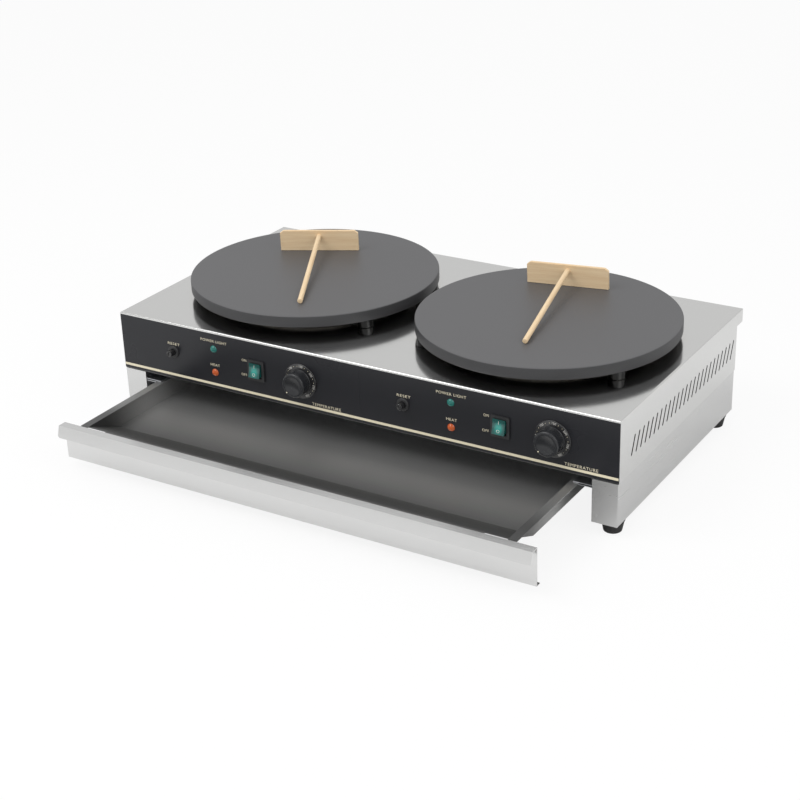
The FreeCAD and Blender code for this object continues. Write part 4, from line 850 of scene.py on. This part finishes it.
def rocker_marks(side, sign):
    """I and O on the rocker's two halves, on its tipped face."""
    body = f"{side}_rocker"
    pivot = Vector((sign * PLATE_X + SWITCH_X, FRONT_Y + ROCKER_PIVOT_DEPTH, CONTROL_Z))
    tip = Matrix.Translation(pivot) @ Matrix.Rotation(math.radians(ROCKER_TIP), 4, "X")
    for words, lift in (("I", ROCKER_MARK_LIFT), ("O", -ROCKER_MARK_LIFT)):
        place = tip @ facing_front(0, -ROCKER_FACE, lift)
        lettering(f"rocker_{words}_{side}", words, MATERIALS["white"], body,
                  place, ROCKER_MARK_HEIGHT)


def fascia_print(side, sign):
    """Plain words beside the controls."""
    for words, x, lift, width, height in PRINT:
        name = words.replace(" ", "_").lower()
        lettering(f"print_{name}_{side}", words, MATERIALS["cream"], "housing",
                  control_place(sign, x, lift), height, width, spacing=1.15)


def stripe():
    """Cream line along the fascia's lower edge."""
    end = HALF_WIDTH - STRIPE_END_GAP
    mesh = slab("cream_stripe", (-end, FRONT_Y - STRIPE_THICK, STRIPE_LOW),
                (end, FRONT_Y, STRIPE_TOP))
    piece("cream_stripe", mesh, MATERIALS["cream"], "housing")


# Spreaders


def spreader(side):
    """Wooden blade that lies on the griddle, with its round stick."""
    turn, foot_x, foot_y = SPREADERS[side]
    tilt = math.atan2(STICK_DROP, STICK_REACH)
    place = (Matrix.Translation((foot_x, foot_y, PLATE_TOP + BLADE_GAP))
             @ Matrix.Rotation(math.radians(turn), 4, "Z") @ Matrix.Rotation(tilt, 4, "X"))
    body = f"{side}_spreader"
    piece(f"wooden_blade_{side}", blade_mesh(f"wooden_blade_{side}", place),
          beech(f"blade_beech_{side}", turn, foot_x, foot_y, False), body,
          [f"spreader_blade_{side}"])
    inner = STICK_RADIUS - STICK_EDGE
    profile = [(0, 0)] + arc(inner, STICK_EDGE, STICK_EDGE, -90, 0, 4)
    profile += arc(inner, STICK_LENGTH - STICK_EDGE, STICK_EDGE, 0, 90, 4) + [(0, STICK_LENGTH)]
    stick_place = (place @ Matrix.Translation((0, -STICK_REACH, STICK_LIFT))
                   @ Matrix.Rotation(-math.pi / 2, 4, "X"))
    piece(f"wooden_stick_{side}", lathed(f"wooden_stick_{side}", profile, stick_place, around=40),
          beech(f"stick_beech_{side}", turn, foot_x, foot_y, True), body,
          [f"spreader_handle_{side}"])


def blade_mesh(name, place):
    """Flat board with its upper corners cut off and its edges broken."""
    half, narrow = BLADE_HALF, BLADE_HALF - BLADE_CORNER
    outline = [(-half, 0), (half, 0), (half, BLADE_SHOULDER), (narrow, BLADE_HEIGHT),
               (-narrow, BLADE_HEIGHT), (-half, BLADE_SHOULDER)]
    bm = bmesh.new()
    front = [bm.verts.new((x, 0, z)) for x, z in outline]
    back = [bm.verts.new((x, BLADE_THICK, z)) for x, z in outline]
    bm.faces.new(front)
    bm.faces.new(back[::-1])
    for k in range(len(outline)):
        n = (k + 1) % len(outline)
        bm.faces.new((front[n], front[k], back[k], back[n]))
    bmesh.ops.recalc_face_normals(bm, faces=bm.faces)
    bmesh.ops.bevel(bm, geom=list(bm.edges), offset=BLADE_EDGE, segments=2, affect="EDGES")
    bm.transform(place)
    return as_mesh(bm, name)


# Camera, light and floor


VIEW_PLACE = (1.25461, -2.08108, 1.16833)
VIEW_ANGLES = (32.0749, 25.0299, -1.9665)   # azimuth, elevation, roll
FOCUS_PIXELS = 1683.66
PICTURE_WIDTH = 800
SENSOR = 36.0                               # millimetres, as the lens
FLOOR_GLOW = 0.88                           # share of plain white that the camera sees


def camera():
    """The view of the photograph, as solved from its points."""
    azimuth, elevation, roll = (math.radians(d) for d in VIEW_ANGLES)
    level = math.cos(elevation)
    ahead = Vector((-math.sin(azimuth) * level, math.cos(azimuth) * level, -math.sin(elevation)))
    right = ahead.cross(Vector((0, 0, 1))).normalized()
    up = right.cross(ahead)
    across = right * math.cos(roll) + up * math.sin(roll)
    over = up * math.cos(roll) - right * math.sin(roll)
    data = bpy.data.cameras.new("camera")
    data.sensor_width = SENSOR
    data.sensor_fit = "HORIZONTAL"
    data.lens = SENSOR * FOCUS_PIXELS / PICTURE_WIDTH
    data.clip_start = 0.05
    data.clip_end = 60.0
    obj = link_in(bpy.data.objects.new("camera", data))
    turn = Matrix((across, over, -ahead)).transposed().to_4x4()
    obj.matrix_world = Matrix.Translation(VIEW_PLACE) @ turn
    bpy.context.scene.camera = obj


def area_light(name, place, target, size, power):
    """A soft rectangular lamp that faces a target."""
    data = bpy.data.lights.new(name, "AREA")
    data.shape = "RECTANGLE"
    data.size, data.size_y = size
    data.energy = power
    obj = link_in(bpy.data.objects.new(name, data))
    aim = (Vector(place) - Vector(target)).to_track_quat("Z", "Y").to_matrix().to_4x4()
    obj.matrix_world = Matrix.Translation(place) @ aim


def world_light():
    """Even studio light, a little brighter from above; the camera itself sees plain white."""
    world = bpy.data.worlds.new("studio")
    bpy.context.scene.world = world
    world.use_nodes = True
    tree = world.node_tree
    tree.nodes.clear()
    out = add(tree, "ShaderNodeOutputWorld")
    path = add(tree, "ShaderNodeLightPath")
    seen = maths(tree, "MAXIMUM", path.outputs["Is Camera Ray"],
                 path.outputs["Is Transmission Ray"])
    room = add(tree, "ShaderNodeBackground")
    place = add(tree, "ShaderNodeTexCoord").outputs["Generated"]
    sky = add(tree, "ShaderNodeValToRGB")
    for element, position, grey in zip(sky.color_ramp.elements, (0.0, 0.9), (0.9, 1.0)):
        element.position = position
        element.color = (grey, grey, grey, 1)
    tree.links.new(split_axes(tree, place)[2], sky.inputs[0])
    tree.links.new(sky.outputs[0], room.inputs["Color"])
    room.inputs["Strength"].default_value = 0.8
    white = add(tree, "ShaderNodeBackground")
    white.inputs["Color"].default_value = (1, 1, 1, 1)
    mix = add(tree, "ShaderNodeMixShader")
    tree.links.new(seen, mix.inputs[0])
    tree.links.new(room.outputs[0], mix.inputs[1])
    tree.links.new(white.outputs[0], mix.inputs[2])
    tree.links.new(mix.outputs[0], out.inputs["Surface"])


def floor():
    """Wide white floor that keeps the object's shadow."""
    bm = bmesh.new()
    bmesh.ops.create_grid(bm, x_segments=1, y_segments=1, size=20.0)
    mesh = bpy.data.meshes.new("floor")
    bm.to_mesh(mesh)
    bm.free()
    obj = link_in(bpy.data.objects.new("floor", mesh))
    material = bpy.data.materials.new("floor_white")
    material.use_nodes = True
    tree = material.node_tree
    main = tree.nodes["Principled BSDF"]
    main.inputs["Base Color"].default_value = (0.86, 0.86, 0.86, 1)
    main.inputs["Roughness"].default_value = 0.9
    path = add(tree, "ShaderNodeLightPath")
    glow = add(tree, "ShaderNodeEmission")
    glow.inputs["Color"].default_value = (1, 1, 1, 1)
    mix = add(tree, "ShaderNodeMixShader")
    share = maths(tree, "MULTIPLY", path.outputs["Is Camera Ray"], FLOOR_GLOW)
    tree.links.new(share, mix.inputs[0])
    tree.links.new(main.outputs[0], mix.inputs[1])
    tree.links.new(glow.outputs[0], mix.inputs[2])
    tree.links.new(mix.outputs[0], tree.nodes["Material Output"].inputs["Surface"])
    obj.data.materials.append(material)


def main():
    """Sets the stage, dresses the CAD nodes and adds the pieces."""
    camera()
    world_light()
    floor()
    area_light("key", (-0.9, -1.4, 2.2), (0, 0, 0.15), (1.8, 1.2), 26)
    area_light("fill", (1.8, -0.6, 1.5), (0, 0, 0.1), (1.4, 1.4), 10)
    finish_nodes()
    legs()
    feet()
    collars()
    stripe()
    for side, sign in SIDES:
        griddle(side, sign)
        knob_and_dial(side, sign)
        lamps(side, sign)
        reset_cap(side, sign)
        rocker_marks(side, sign)
        fascia_print(side, sign)
        spreader(side)
    bpy.context.scene.view_settings.view_transform = "Standard"


main()
